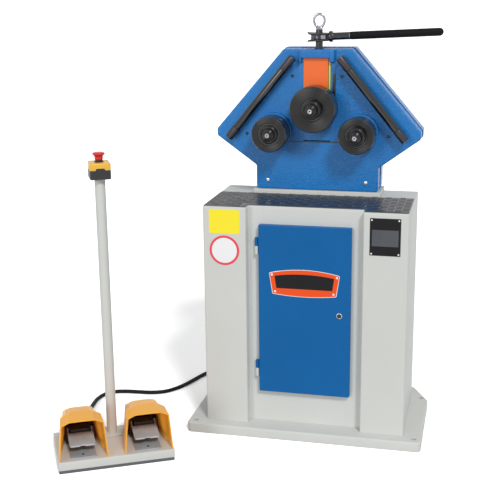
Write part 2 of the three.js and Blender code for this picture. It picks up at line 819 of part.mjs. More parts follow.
// Carriage with its slot for the screw's foot, the gibs that guide it, and the marking plate on it
function makeCarriage() {
  for (const [name, side] of Object.entries(sides)) {
    const x = rising(side * (slotHalf - gap), side * (slotHalf - gap - gibWidth));
    add(`gib_${name}`, block(x, [headFaceY, frontWallInnerY], [slotBottomZ + gap, slotTopZ - gap]),
      'bluePaint');
  }
  const neck = screwDiameter / 2 + gap;
  const foot = screwFootDiameter / 2 + gap;
  const neckBore = boreRadius(screwDiameter / 2, gap, smallSteps);
  const footBore = boreRadius(screwFootDiameter / 2, gap, smallSteps);
  const footLow = screwFootTopZ - screwFootThickness - gap;
  let solid = centredBlock(carriageHalf, [headFaceY, frontWallInnerY + overrun],
    [carriageBottomZ, carriageTopZ]);
  solid = solid.add(centredBlock(slotHalf + carriageFlange, [frontWallInnerY + gap, carriageBackY],
    [carriageBottomZ, carriageTopZ]));
  solid = solid.subtract(cylinder('y', shaftDiameter / 2 + gap, headFaceY - overrun,
    carriageBackY - carriageBackWall, [0, topRollZ]));
  solid = solid.subtract(block([-neck, neck], [screwY, carriageBackY + overrun],
    [screwFootTopZ - gap, carriageTopZ + overrun]));
  solid = solid.subtract(cylinder('z', neckBore, screwFootTopZ - gap, carriageTopZ + overrun,
    [0, screwY], smallSteps));
  solid = solid.subtract(block([-foot, foot], [screwY, carriageBackY + overrun],
    [footLow, screwFootTopZ + gap]));
  solid = solid.subtract(cylinder('z', footBore, footLow, screwFootTopZ + gap, [0, screwY], smallSteps));
  add('carriage', solid, 'bluePaint');

  const low = topRollZ + shaftDiameter / 2 + plateShaftGap;
  const back = headFaceY - 2 * gap;
  add('carriage_plate', block([-plateLeft, plateRight], [back - plateThickness, back],
    [low, low + plateHeight]), 'orangePlate');
}

const ratchetZ = headTopZ + ratchetRise;
const ratchetMiddleZ = ratchetZ + ratchetHeight / 2;

// Feed screw: foot in the carriage, thread through the housing's top, plain top under the eye
function makeScrew() {
  const core = screwDiameter / 2 - screwThreadDepth;
  const outer = screwDiameter / 2;
  const foot = screwFootDiameter / 2;
  const footLow = screwFootTopZ - screwFootThickness;
  const profile = [[0, footLow], [foot, footLow], [foot, screwFootTopZ], [outer, screwFootTopZ],
    [outer, headTopZ]];
  const turns = Math.floor(ratchetRise / screwThreadPitch);
  for (let turn = 0; turn < turns; turn += 1) {
    const z = headTopZ + turn * screwThreadPitch;
    const places = threadShares.map((share) => z + share * screwThreadPitch);
    profile.push([core, places[0]], [core, places[1]], [outer, places[2]], [outer, places[3]]);
  }
  const top = ratchetZ + ratchetHeight + eyeNeckHeight;
  const neckLow = ratchetZ + ratchetHeight + gap;
  profile.push([outer, neckLow], [eyeNeckDiameter / 2, neckLow], [eyeNeckDiameter / 2, top], [0, top]);
  add('lead_screw', turned('z', profile, [0, screwY], smallSteps), 'blackSteel');

  const outline = [];
  for (let tooth = 0; tooth < ratchetTeeth; tooth += 1) {
    const start = 2 * Math.PI * tooth / ratchetTeeth;
    const end = 2 * Math.PI * (tooth + 1) / ratchetTeeth;
    const root = ratchetWheelRadius - ratchetToothDepth;
    outline.push([root * Math.cos(start), screwY + root * Math.sin(start)]);
    outline.push([ratchetWheelRadius * Math.cos(end), screwY + ratchetWheelRadius * Math.sin(end)]);
  }
  const wheel = prism('z', outline, ratchetZ + ratchetPlate + gap,
    ratchetZ + ratchetHeight - ratchetPlate - gap);
  const bore = cylinder('z', screwDiameter / 2 + gap, ratchetZ, ratchetZ + ratchetHeight, [0, screwY],
    smallSteps);
  add('ratchet_wheel', wheel.subtract(bore), 'brightSteel');

  const ringReach = eyeRingRadius * eyeRingStretchShare;
  const ringZ = top + gap + eyeShankHeight + ringReach;
  const ring = new THREE.TorusGeometry(eyeRingRadius, eyeRingThickness / 2, eyeRingSides, smallSteps);
  ring.rotateX(Math.PI / 2);
  ring.scale(1, 1, eyeRingStretchShare);
  ring.translate(0, screwY, ringZ);
  const shank = turned('z', [[0, top + gap], [eyeNeckDiameter / 2, top + gap],
    [eyeRingThickness / 2, ringZ - ringReach], [0, ringZ - ringReach]], [0, screwY], smallSteps);
  add('lifting_eye', toSolid(ring).add(shank), 'brightSteel');
}

// Ratchet head around the wheel, with the lever's flange, bar and grip
function makeLever() {
  const top = ratchetZ + ratchetHeight;
  const centre = [0, screwY];
  let body = cylinder('z', ratchetRadius, ratchetZ, ratchetZ + ratchetPlate, centre)
    .add(cylinder('z', ratchetRadius, top - ratchetPlate, top, centre))
    .add(block([ratchetWebStart, ratchetWebEnd], [screwY - ratchetWebHalf, screwY + ratchetWebHalf],
      [ratchetZ, top]));
  body = body.subtract(block([ratchetWebEnd, ratchetRadius + overrun],
    [screwY - ratchetRadius, screwY + ratchetRadius], [ratchetZ - overrun, top + overrun]));
  body = body.subtract(cylinder('z', screwDiameter / 2 + runningGap, ratchetZ - overrun, top + overrun,
    centre, smallSteps));
  const buttonY = screwY - ratchetRadius;
  body = body.add(cylinder('y', ratchetButtonDiameter / 2, buttonY - ratchetButtonLength,
    screwY - ratchetWheelRadius - gap, [0, ratchetMiddleZ], smallSteps));
  body = body.add(block([-ratchetButtonDiameter / 2, ratchetButtonDiameter / 2],
    [buttonY + ratchetPlate / 2, screwY - ratchetWheelRadius - gap], [ratchetZ + overrun, top - overrun]));
  add('ratchet_body', body, 'blackSteel');

  const place = new THREE.Matrix4().makeTranslation(0, screwY, ratchetMiddleZ)
    .multiply(new THREE.Matrix4().makeRotationY(-leverTilt));
  const flangeEnd = ratchetWebEnd + gap + leverFlangeThickness;
  const flange = cylinder('x', leverFlangeDiameter / 2, ratchetWebEnd + gap, flangeEnd,
    [screwY, ratchetMiddleZ]);
  const core = leverBarDiameter / 2 - overrun;
  const coreEnd = leverLength - leverGripDiameter;
  const bar = turned('x', [[0, flangeEnd - overrun], [leverBarDiameter / 2, flangeEnd - overrun],
    [leverBarDiameter / 2, leverGripStart], [core, leverGripStart], [core, coreEnd], [0, coreEnd]],
  [0, 0], smallSteps, place);
  add('lever_bar', flange.add(bar), 'blackSteel');

  const start = leverGripStart + gap;
  const outer = leverGripDiameter / 2;
  const profile = [[core + gap, start], [outer - overrun / 2, start], [outer, start + overrun],
    [outer, leverLength - outer]];
  for (let step = 1; step <= cornerSteps; step += 1) {
    const angle = Math.PI / 2 * step / cornerSteps;
    profile.push([outer * Math.cos(angle), leverLength - outer + outer * Math.sin(angle)]);
  }
  profile[profile.length - 1][0] = 0;
  profile.push([0, coreEnd + gap], [core + gap, coreEnd + gap], [core + gap, start]);
  add('lever_grip', turned('x', profile, [0, 0], smallSteps, place), 'rubber');
}

// Roll with a recessed hub, rim chamfers and two grooves between its discs
function rollSolid(diameter, centre) {
  const bore = shaftDiameter / 2 + gap;
  const outer = diameter / 2;
  const hub = nutWidth / 2 + rollChamfer + rollGrooveDepth;
  const front = rollFrontY;
  const back = rollRearY;
  const first = front + rollFrontDisc;
  const second = back - rollRearDisc - rollGrooveWidth;
  const profile = [
    [bore, front + rollFaceStep], [hub, front + rollFaceStep], [hub + rollChamfer, front],
    [outer - rollChamfer, front], [outer, front + rollChamfer],
    [outer, first], [outer - rollGrooveDepth, first], [outer - rollGrooveDepth, first + rollGrooveWidth],
    [outer, first + rollGrooveWidth], [outer, second], [outer - rollGrooveDepth, second],
    [outer - rollGrooveDepth, second + rollGrooveWidth], [outer, second + rollGrooveWidth],
    [outer, back - rollChamfer], [outer - rollChamfer, back], [bore, back],
    [bore, front + rollFaceStep],
  ];
  return turned('y', profile, centre);
}

// Roll shaft with its threaded end, its cone and its centre drilling
function shaftSolid(endLength, backY, centre) {
  const end = rollFrontY - endLength;
  const shoulder = rollFrontY + rollFaceStep;
  const cone = (threadDiameter - shaftEndDiameter) / 2;
  const profile = [
    [0, end + centreDrillDepth], [centreDrillDiameter / 2, end], [shaftEndDiameter / 2, end],
    [threadDiameter / 2, end + cone], [threadDiameter / 2, shoulder], [shaftDiameter / 2, shoulder],
    [shaftDiameter / 2, backY], [0, backY],
  ];
  return turned('y', profile, centre);
}

// Round nut that holds a roll on its shaft
function rollNut(length, centre) {
  const back = rollFrontY + rollFaceStep - gap;
  const bore = threadDiameter / 2 + gap;
  const outer = nutWidth / 2;
  const profile = [[bore, back - length], [outer - rollChamfer, back - length],
    [outer, back - length + rollChamfer], [outer, back], [bore, back], [bore, back - length]];
  return turned('y', profile, centre);
}

// Involute outline of a spur gear, with its first tooth at the given angle
function gearOutline(teeth, phase, [cx, cz]) {
  const pitch = gearModule * teeth / 2;
  const pressure = THREE.MathUtils.degToRad(pressureAngle);
  const base = pitch * Math.cos(pressure);
  const tip = pitch + gearModule;
  const root = pitch - gearModule * gearRootShare;
  const involute = (radius) => {
    const roll = Math.acos(Math.min(1, base / radius));
    return Math.tan(roll) - roll;
  };
  const halfTooth = Math.PI / (2 * teeth) - gearBacklash / (2 * pitch) + involute(pitch);
  const start = Math.max(base, root);
  const outline = [];
  for (let tooth = 0; tooth < teeth; tooth += 1) {
    const middle = phase + 2 * Math.PI * tooth / teeth;
    const flank = [];
    for (let step = 0; step <= involuteSteps; step += 1) {
      const radius = start + (tip - start) * step / involuteSteps;
      flank.push([radius, halfTooth - involute(radius)]);
    }
    if (start - root > gap) flank.unshift([root, halfTooth]);
    const rising = flank.map(([radius, angle]) => [radius, middle - angle]);
    const falling = flank.map(([radius, angle]) => [radius, middle + angle]).reverse();
    outline.push(...rising, ...falling);
  }
  return outline.map(([radius, angle]) => [cx + radius * Math.cos(angle), cz + radius * Math.sin(angle)]);
}

// Angle of a roll gear's first tooth, so that a gap of it faces a tooth of the drive gear
function rollGearPhase(side) {
  const towards = Math.atan2(lowerRollZ - driveZ, side * lowerRollX);
  const driveTeethPassed = towards * driveGearTeeth / (2 * Math.PI);
  return towards + Math.PI - (meshShare - driveTeethPassed) * 2 * Math.PI / rollGearTeeth;
}

// Pitch circle radius of a sprocket
function sprocketRadius(teeth) {
  return chainPitch / (2 * Math.sin(Math.PI / teeth));
}

// Toothed wheel that fits inside the chain's band
function sprocketSolid(teeth, centre) {
  const tip = sprocketRadius(teeth) - chainThickness / 2 - runningGap;
  const root = tip - sprocketToothDepth;
  const radii = [tip, tip, root, root];
  const outline = [];
  for (let tooth = 0; tooth < teeth; tooth += 1) {
    sprocketToothAngleShares.forEach((share, i) => {
      const angle = 2 * Math.PI * (tooth + share) / teeth;
      outline.push([centre[0] + radii[i] * Math.cos(angle), centre[1] + radii[i] * Math.sin(angle)]);
    });
  }
  return prism('y', outline, chainY - sprocketWidth / 2, chainY + sprocketWidth / 2);
}

// The three shafts with their rolls and nuts, and the lower shafts' gears and bearing caps
function makeRolls() {
  const topCentre = [0, topRollZ];
  const topBack = carriageBackY - carriageBackWall - gap;
  add('top_shaft', shaftSolid(longShaftEnd, topBack, topCentre), 'brightSteel');
  add('top_roll', rollSolid(topRollDiameter, topCentre), 'blackSteel');
  add('top_roll_nut', rollNut(longNutLength, topCentre), 'blackSteel');

  const nutLengths = { left: shortNutLength, right: longNutLength };
  const endLengths = { left: shortShaftEnd, right: longShaftEnd };
  for (const [name, side] of Object.entries(sides)) {
    const centre = [side * lowerRollX, lowerRollZ];
    add(`${name}_shaft`, shaftSolid(endLengths[name], pocketFloorY - gap, centre), 'brightSteel');
    add(`${name}_roll`, rollSolid(lowerRollDiameter, centre), 'blackSteel');
    add(`${name}_roll_nut`, rollNut(nutLengths[name], centre), 'blackSteel');
    const gear = prism('y', gearOutline(rollGearTeeth, rollGearPhase(side), centre), gearFrontY, gearRearY)
      .subtract(cylinder('y', shaftDiameter / 2 + gap, gearFrontY - overrun, gearRearY + overrun, centre));
    add(`${name}_gear`, gear, 'castIron');
    const bore = shaftDiameter / 2 + runningGap;
    const capFront = headFaceY - gap - bearingCapLength;
    const capBack = headFaceY - gap;
    const cap = turned('y', [[bore, capFront], [bearingCapDiameter / 2 - rollChamfer, capFront],
      [bearingCapDiameter / 2, capFront + rollChamfer], [bearingCapDiameter / 2, capBack],
      [bore, capBack], [bore, capFront]], centre);
    add(`bearing_cap_${name}`, cap, 'bluePaint');
  }
}

// Drive gear on its shaft with the upper sprocket, the chain, the lower sprocket and the geared motor
function makeDrive() {
  const centre = [0, driveZ];
  const shaft = cylinder('y', driveShaftDiameter / 2, frontWallInnerY - drivePocket + gap,
    pocketFloorY - gap, centre);
  const gear = prism('y', gearOutline(driveGearTeeth, 0, centre), gearFrontY, gearRearY);
  add('drive_gear', gear.add(shaft).add(sprocketSolid(driveSprocketTeeth, centre)), 'castIron');

  const [upper, lower] = [sprocketRadius(driveSprocketTeeth), sprocketRadius(motorSprocketTeeth)];
  const lean = Math.asin((upper - lower) / (driveZ - motorSprocketZ));
  const loop = (offset) => {
    const outline = [];
    for (let step = 0; step <= roundSteps / 2; step += 1) {
      const angle = lean + (Math.PI - 2 * lean) * step / (roundSteps / 2);
      outline.push([(upper + offset) * Math.cos(angle), driveZ + (upper + offset) * Math.sin(angle)]);
    }
    for (let step = 0; step <= roundSteps / 2; step += 1) {
      const angle = Math.PI - lean + (Math.PI + 2 * lean) * step / (roundSteps / 2);
      outline.push([(lower + offset) * Math.cos(angle),
        motorSprocketZ + (lower + offset) * Math.sin(angle)]);
    }
    return outline;
  };
  const chain = prism('y', loop(chainThickness / 2), chainY - chainWidth / 2, chainY + chainWidth / 2)
    .subtract(prism('y', loop(-chainThickness / 2), chainY - chainWidth, chainY + chainWidth));
  add('drive_chain', chain, 'castIron');

  const lowCentre = [0, motorSprocketZ];
  const boxBack = chainY - chainWidth;
  const boxFront = boxBack - gearboxDepth;
  const output = cylinder('y', gearboxShaftDiameter / 2, boxBack - gearboxStub,
    chainY + sprocketWidth / 2, lowCentre, smallSteps);
  add('motor_sprocket', sprocketSolid(motorSprocketTeeth, lowCentre).add(output), 'castIron');

  const boxSides = [-gearboxWidth / 2, gearboxWidth / 2];
  const boxPlan = rounded(rectangle(boxSides, [boxFront, boxBack]), controlBoxRadius);
  let box = prism('z', boxPlan, gearboxTopZ - gearboxHeight, gearboxTopZ);
  box = box.subtract(cylinder('y', gearboxShaftDiameter / 2 + runningGap, boxBack - gearboxStub - gap,
    boxBack + overrun, lowCentre, smallSteps));
  add('gearbox', box, 'castIron');

  const motorStart = gearboxWidth / 2 + gap;
  const motorEnd = cabinetWidth / 2 - cabinetSheet - motorWallClearance;
  const radius = motorDiameter / 2;
  const motorCentre = [(boxFront + boxBack) / 2, motorSprocketZ - motorRise];
  const lip = motorLip;
  const motorProfile = [[0, motorStart], [radius - lip, motorStart], [radius, motorStart + lip],
    [radius, motorEnd - 3 * lip], [radius - lip, motorEnd - 2 * lip], [radius - lip, motorEnd],
    [0, motorEnd]];
  add('motor', turned('x', motorProfile, motorCentre), 'motorPaint');

  const wallX = -cabinetWidth / 2 + cabinetSheet + gap;
  const boxPlanX = rounded(rectangle([wallX, wallX + controlBoxWidth],
    [boxFront - controlBoxAhead, boxFront - controlBoxAhead + controlBoxDepth]), controlBoxRadius);
  const controlZ = cabinetBottomZ + controlBoxBottom;
  add('control_box', prism('z', boxPlanX, controlZ, controlZ + controlBoxHeight), 'greyPaint');
}

// Bars for the side guide rolls, on two posts each
function makeGuideBars() {
  const y = headFaceY - guideBarStandoff;
  const radius = guideBarDiameter / 2;
  for (const [name, side] of Object.entries(sides)) {
    const start = new THREE.Vector3(side * guideBarTopX, y, headZ + guideBarTopHeight);
    const end = new THREE.Vector3(side * guideBarEndX, y, headZ + guideBarEndHeight);
    const along = end.clone().sub(start);
    const length = along.length();
    const profile = [[0, 0], [radius - guideBarGroove / 2, 0], [radius, guideBarGroove / 2]];
    for (const share of guideBarGrooveShares) {
      const middle = share * length;
      profile.push([radius, middle - guideBarGroove / 2], [radius - guideBarGroove / 2, middle],
        [radius, middle + guideBarGroove / 2]);
    }
    profile.push([radius, length - guideBarGroove / 2], [radius - guideBarGroove / 2, length], [0, length]);
    const turn = new THREE.Quaternion().setFromUnitVectors(new THREE.Vector3(0, 1, 0), along.normalize());
    const place = new THREE.Matrix4().compose(start, turn, new THREE.Vector3(1, 1, 1));
    let bar = turned('y', profile, [0, 0], smallSteps, place);
    for (const share of guideBarPostShares) {
      const spot = start.clone().lerp(end, share);
      bar = bar.add(cylinder('y', guideBarPostDiameter / 2, y, headFaceY - gap, [spot.x, spot.z],
        smallSteps));
    }
    add(`guide_bar_${name}`, bar, 'blackSteel');
  }
}

const trayTopZ = padThickness + gap + trayHeight;

// Tray of the pedal station on its rubber pad, with the post that carries the stop button
function makeTray() {
  const [halfX, halfY] = [trayWidth / 2, trayDepth / 2];
  const pad = rectangle([-halfX + padInset, halfX - padInset], [-halfY + padInset, halfY - padInset]);
  add('station_pad', prism('z', rounded(pad, trayCornerRadius), 0, padThickness), 'rubber', station);
  const tray = rectangle([-halfX, halfX], [-halfY, halfY]);
  add('station_tray', prism('z', rounded(tray, trayCornerRadius), padThickness + gap, trayTopZ), 'greyPaint',
    station);
}

const postTopZ = trayTopZ + gap + postHeight;

// Post tube with its foot plate and the head that carries the stop button
function makePost() {
  const centre = [postOffset, postSetback];
  const low = trayTopZ + gap;
  const half = postPlateSize / 2;
  const square = rectangle([postOffset - half, postOffset + half], [postSetback - half, postSetback + half]);
  const foot = prism('z', rounded(square, trayCornerRadius), low, low + postPlateThickness);
  const tube = cylinder('z', postDiameter / 2, low, postTopZ, centre, smallSteps)
    .subtract(cylinder('z', postDiameter / 2 - postWall, low + postPlateThickness,
      postTopZ - stopAdapterHeight, centre, smallSteps));
  const cap = rectangle([postOffset - postDiameter / 2, postOffset + postDiameter / 2],
    [postSetback - postDiameter / 2, postSetback + postDiameter / 2]);
  const head = prism('z', rounded(cap, trayCornerRadius), postTopZ - stopAdapterHeight, postTopZ);
  const wire = cylinder('z', stopBoreDiameter / 2, postTopZ - stopAdapterHeight - overrun,
    postTopZ + overrun, centre, smallSteps);
  add('station_post', tube.add(foot).add(head).subtract(wire), 'greyPaint', station);
}

// Guard hood over a pedal: a wide mouth, a narrower hump behind it, and a roof that falls to the rear
function guardSection(layer, half, height, y, centreX) {
  const low = trayTopZ + gap;
  const shoulder = half * guardShoulderWidthShares[layer];
  const top = half * guardTopShares[layer];
  const shoulderZ = low + height * guardShoulderHeightShares[layer];
  return [
    [centreX - half, y, low], [centreX + half, y, low], [centreX + shoulder, y, shoulderZ],
    [centreX + top, y, low + height], [centreX - top, y, low + height], [centreX - shoulder, y, shoulderZ],
  ];
}

function guardSolid(centreX) {
  const layers = guardSetbacks.map((setback, i) => ({
    y: -guardFront + setback,
    half: guardHalf * guardWidthShares[i],
    height: guardHeight * guardHeightShares[i],
  }));
  const outer = layers.map(({ y, half, height }, i) => guardSection(i, half, height, y, centreX));
  const inner = layers.map(({ y, half, height }, i) => {
    const ends = { 0: -overrun, [layers.length - 1]: -guardThickness };
    const shifted = y + (ends[i] ?? 0);
    const section = guardSection(i, half - guardThickness, height - guardThickness, shifted, centreX);
    return section.map(([x, place, z], corner) => [x, place, corner < 2 ? z - overrun : z]);
  });
  return loft(outer).subtract(loft(inner));
}

// Cable gland through a wall: thread, hexagon and dome nut
function glandSolid([x, z], wallY, inside) {
  const start = wallY - inside;
  const seat = wallY + gap;
  const hex = seat + glandHexThickness;
  const end = wallY + glandLength;
  const dome = glandDomeDiameter / 2;
  return turned('y', [[0, start], [glandThreadDiameter / 2, start], [glandThreadDiameter / 2, seat],
    [glandHexWidth / 2, seat], [glandHexWidth / 2, hex], [dome, hex], [dome, end - glandHexThickness],
    [cableDiameter / 2 + 2 * gap, end], [0, end]], [x, z], smallSteps);
}

// One pedal: its plate, switch body with ears, sprung treadle and guard
function makePedal(name, centreX) {
  const plateLow = trayTopZ + gap;
  const plateTop = plateLow + pedalPlateThickness;
  const half = pedalPlateHalf;
  const plate = rectangle([centreX - half, centreX + half], [-pedalPlateFront, pedalPlateRear]);
  add(`pedal_base_${name}`, prism('z', rounded(plate, pedalPlateRadius), plateLow, plateTop), 'treadleGrey',
    station);

  const low = plateTop + gap;
  const pivot = [treadlePivotSetback, trayTopZ + treadlePivotHeight];
  const earTop = pivot[1] + switchEarRise;
  let body = centredBlock(switchBodyHalf, [switchBodyFront, switchBodyRear], [low, low + switchBodyHeight],
    centreX);
  body = body.add(centredBlock(switchEarHalf, [switchBodyRear - switchEarRise, switchBodyRear],
    [low, low + switchBodyHeight], centreX));
  for (const side of Object.values(sides)) {
    const outer = centreX + side * switchEarHalf;
    const inner = outer - side * switchEarThickness;
    const ear = block(rising(outer, inner), [switchEarFront, switchBodyRear], [low, earTop]);
    body = body.add(ear);
  }
  body = body.subtract(cylinder('x', treadlePinDiameter / 2 + gap, centreX - switchEarHalf - overrun,
    centreX + switchEarHalf + overrun, pivot, smallSteps));
  add(`switch_body_${name}`, body, 'blackPlastic', station);

  const slope = (treadlePivotHeight - treadleFrontHeight) / (treadlePivotSetback + treadleFront);
  const heightAt = (y) => trayTopZ + treadleFrontHeight + (y + treadleFront) * slope;
  const [front, back] = [-treadleFront, -treadleBack];
  const tread = [
    [front, heightAt(front) - treadleLip], [front + treadleThickness, heightAt(front) - treadleLip],
    [front + treadleThickness, heightAt(front) - treadleThickness],
    [back, heightAt(back) - treadleThickness], [back, heightAt(back)],
    [front + treadleRound, heightAt(front)], [front, heightAt(front) - treadleRound],
  ];
  let treadle = prism('x', tread, centreX - treadleHalf, centreX + treadleHalf);
  const armBack = treadlePivotSetback;
  const arm = [
    [back - treadleBossRadius, heightAt(back - treadleBossRadius) - treadleThickness],
    [back, heightAt(back) - treadleBossRadius], [armBack, heightAt(armBack) - treadleBossRadius],
    [armBack, heightAt(armBack) + treadleThickness], [back, heightAt(back)],
  ];
  for (const side of Object.values(sides)) {
    const outer = centreX + side * treadleHalf;
    const inner = outer - side * treadleArmWidth;
    const [from, to] = rising(outer, inner);
    treadle = treadle.add(prism('x', arm, from, to));
    treadle = treadle.add(cylinder('x', treadleBossRadius, from, to, pivot, smallSteps));
    const pinEnd = centreX + side * (switchEarHalf - gap);
    const [pinFrom, pinTo] = rising(inner + side * gap, pinEnd);
    treadle = treadle.add(cylinder('x', treadlePinDiameter / 2, pinFrom, pinTo, pivot, smallSteps));
  }
  treadle = treadle.subtract(cylinder('z', treadleNotchRadius, trayTopZ, trayTopZ + guardHeight,
    [centreX, front - treadleNotchRadius + treadleNotchDepth], smallSteps));
  add(`treadle_${name}`, treadle, 'treadleGrey', station);

  let guard = guardSolid(centreX);
  if (name === 'left') {
    const exit = [centreX, trayTopZ + pedalGlandHeight];
    const wallY = switchBodyRear;
    guard = guard.subtract(cylinder('y', glandHexWidth / 2 + gap, switchBodyRear + overrun,
      -guardFront + guardSetbacks[guardSetbacks.length - 1] + overrun, exit, smallSteps));
    const start = wallY + gap;
    const end = wallY + pedalGlandLength;
    const neck = glandThreadDiameter / 2;
    add('pedal_gland', turned('y', [[0, start], [neck, start], [neck, end - glandLength],
      [glandHexWidth / 2, end - glandLength], [glandHexWidth / 2, end - glandLength + glandHexThickness],
      [glandDomeDiameter / 2, end - glandLength + glandHexThickness],
      [glandDomeDiameter / 2, end - glandHexThickness], [cableDiameter / 2 + 2 * gap, end], [0, end]],
    exit, smallSteps), 'blackPlastic', station);
  }
  add(`guard_${name}`, guard, 'guardOrange', station);
}

// Stop button box on the post: base, cover with its notch, collar, plunger and mushroom head
function makeStopButton() {
  const centre = [postOffset, postSetback];
  const [halfX, halfY] = [stopBoxWidth / 2, stopBoxDepth / 2];
  const box = (margin) => rounded(rectangle([postOffset - halfX + margin, postOffset + halfX - margin],
    [postSetback - halfY + margin, postSetback + halfY - margin]), stopBoxRadius);
  const low = postTopZ + gap;
  const seam = low + stopBoxHeight;
  const tab = (margin) => {
    const [wide, narrow] = [stopTabBase / 2 + margin, stopTabTop / 2 + margin];
    const [bottom, top] = [seam - stopTabHeight, seam + stopTabHeight + margin];
    const outline = [[-wide, bottom], [wide, bottom], [wide, seam], [narrow, top], [-narrow, top],
      [-wide, seam]];
    const front = postSetback - halfY;
    return prism('y', outline.map(([x, z]) => [postOffset + x, z]), front - margin,
      front + stopBoxWall + margin);
  };
  let base = prism('z', box(0), low, seam)
    .subtract(prism('z', box(stopBoxWall), low + stopBoxWall, seam + overrun));
  base = base.add(tab(0)).subtract(cylinder('z', stopBoreDiameter / 2, low - overrun,
    low + stopBoxWall + overrun, centre, smallSteps));
  add('estop_base', base, 'blackPlastic', station);

  const coverLow = seam + gap;
  const coverTop = seam + stopCoverHeight;
  const ring = (outline, z) => outline.map(([x, y]) => [x, y, z]);
  let cover = loft([ring(box(0), coverLow), ring(box(0), coverTop - stopCoverChamfer),
    ring(box(stopCoverChamfer / 2), coverTop)]);
  cover = cover.subtract(prism('z', box(stopBoxWall), coverLow - overrun, coverTop - stopCoverChamfer));
  cover = cover.subtract(tab(gap));
  cover = cover.subtract(cylinder('z', stopBoreDiameter / 2 + gap, coverLow, coverTop + overrun, centre,
    smallSteps));
  add('estop_cover', cover, 'coverYellow', station);

  const collarLow = coverTop + gap;
  const collarTop = collarLow + stopCollarHeight;
  const bore = stopPlungerDiameter / 2 + gap;
  add('estop_collar', turned('z', [[bore, collarLow], [stopCollarDiameter / 2, collarLow],
    [stopCollarDiameter / 2, collarTop], [bore, collarTop], [bore, collarLow]], centre, smallSteps),
  'blackPlastic', station);

  const headLow = collarTop + stopTravel + gap;
  const stem = stopBoreDiameter / 2 - gap;
  const shoulder = coverTop + stopTravel + gap;
  add('estop_plunger', turned('z', [[0, coverTop - stopPlungerDepth], [stem, coverTop - stopPlungerDepth],
    [stem, shoulder], [stopPlungerDiameter / 2, shoulder], [stopPlungerDiameter / 2, headLow - gap],
    [0, headLow - gap]], centre, smallSteps), 'blackPlastic', station);

  const top = headLow + stopHeadHeight;
  const dome = stopHeadShares.map(([wide, high]) => (
    [wide * stopHeadDiameter / 2, top - (1 - high) * stopHeadRim]));
  const profile = [[0, headLow], [stopStemDiameter / 2, headLow],
    [stopStemDiameter / 2, top - 2 * stopHeadRim], ...dome, [0, top]];
  add('estop_button', turned('z', profile, centre), 'stopRed', station);
}

// Control cable from the pedal gland over the floor to the cabinet's rear gland
const cableRoute = [
  [-735.9, -405.5, 62.8], [-749.5, -379.9, 62.3], [-764, -351, 50], [-779, -320, 25], [-792, -288, 9.5],
  [-799, -255, 7.3], [-801, -205, 7.3], [-797, -156, 7.3], [-803, -106, 7.3], [-806, -58, 7.3],
  [-797, -12, 7.3], [-772, 20, 7.3], [-730, 35, 7.3], [-680, 40, 7.3], [-625, 46, 7.3], [-580, 66, 7.3],
  [-548, 103, 7.3], [-524, 150, 7.3], [-504, 205, 7.3], [-481, 267, 7.3], [-448, 325, 7.3],
  [-398, 366, 7.3], [-338, 384, 7.3], [-276, 379, 7.3], [-228, 358, 8], [-207, 325, 17], [-201, 290, 35],
  [-200, 258, 53], [-200, 228, 63], [-200, 198.3, 64.3],
];

function makeCable() {
  const curve = new THREE.CatmullRomCurve3(cableRoute.map((point) => new THREE.Vector3(...point)), false,
    'centripetal');
  const section = new THREE.Shape();
  for (let side = 0; side <= cableSides; side += 1) {
    const angle = 2 * Math.PI * side / cableSides;
    const [x, y] = [cableDiameter / 2 * Math.cos(angle), cableDiameter / 2 * Math.sin(angle)];
    if (side === 0) section.moveTo(x, y);
    else section.lineTo(x, y);
  }
  const tube = new THREE.ExtrudeGeometry(section, { steps: cableSteps, extrudePath: curve });
  add('control_cable', toSolid(tube), 'rubber');
}

makeBase();
makeCabinet();
makeMat();
makeDoor();
makeHeadFront();
makeHeadRear();
makeBridge();
makeCarriage();
makeScrew();
makeLever();
makeRolls();
makeDrive();
makeGuideBars();
makeTray();
makePost();
Object.entries(sides).forEach(([name, side]) => makePedal(name, side * pedalSpacing / 2));
makeStopButton();
add('cabinet_gland', glandSolid([cableGlandX, cabinetBottomZ + glandHeight], cabinetBackY,
  cabinetSheet + glandInside), 'blackPlastic');
add('mains_gland', glandSolid([mainsGlandX, cabinetBottomZ + glandHeight], cabinetBackY,
  cabinetSheet + glandInside), 'blackPlastic');
makeCable();

export default group;
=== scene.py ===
import math

import bmesh
import bpy
import numpy as np
from mathutils import Matrix, Vector
from mathutils.geometry import tessellate_polygon


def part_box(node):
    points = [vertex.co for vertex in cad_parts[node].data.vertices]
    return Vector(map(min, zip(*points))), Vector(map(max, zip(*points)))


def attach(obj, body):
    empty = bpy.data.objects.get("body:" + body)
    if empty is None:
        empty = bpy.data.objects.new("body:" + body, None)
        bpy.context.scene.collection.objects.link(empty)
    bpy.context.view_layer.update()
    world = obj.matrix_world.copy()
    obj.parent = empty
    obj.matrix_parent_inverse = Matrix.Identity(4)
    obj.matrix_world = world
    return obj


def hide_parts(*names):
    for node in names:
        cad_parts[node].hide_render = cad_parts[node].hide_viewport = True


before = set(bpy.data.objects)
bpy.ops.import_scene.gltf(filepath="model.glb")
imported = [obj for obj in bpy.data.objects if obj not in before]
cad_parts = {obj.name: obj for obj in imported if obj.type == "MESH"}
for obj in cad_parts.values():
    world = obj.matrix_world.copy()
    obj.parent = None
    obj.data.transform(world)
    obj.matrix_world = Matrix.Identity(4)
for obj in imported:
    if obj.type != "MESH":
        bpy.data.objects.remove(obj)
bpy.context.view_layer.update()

# Camera, worked out from the photograph
CAMERA_PLACE = (0.5641, -3.3060, 1.4967)
CAMERA_RIGHT = (0.97314, 0.22997, -0.01037)
CAMERA_UP = (-0.04898, 0.25085, 0.96678)
SENSOR_WIDTH = 36.0
IMAGE_WIDTH_PIXELS = 500
FOCAL_PIXELS = 1000

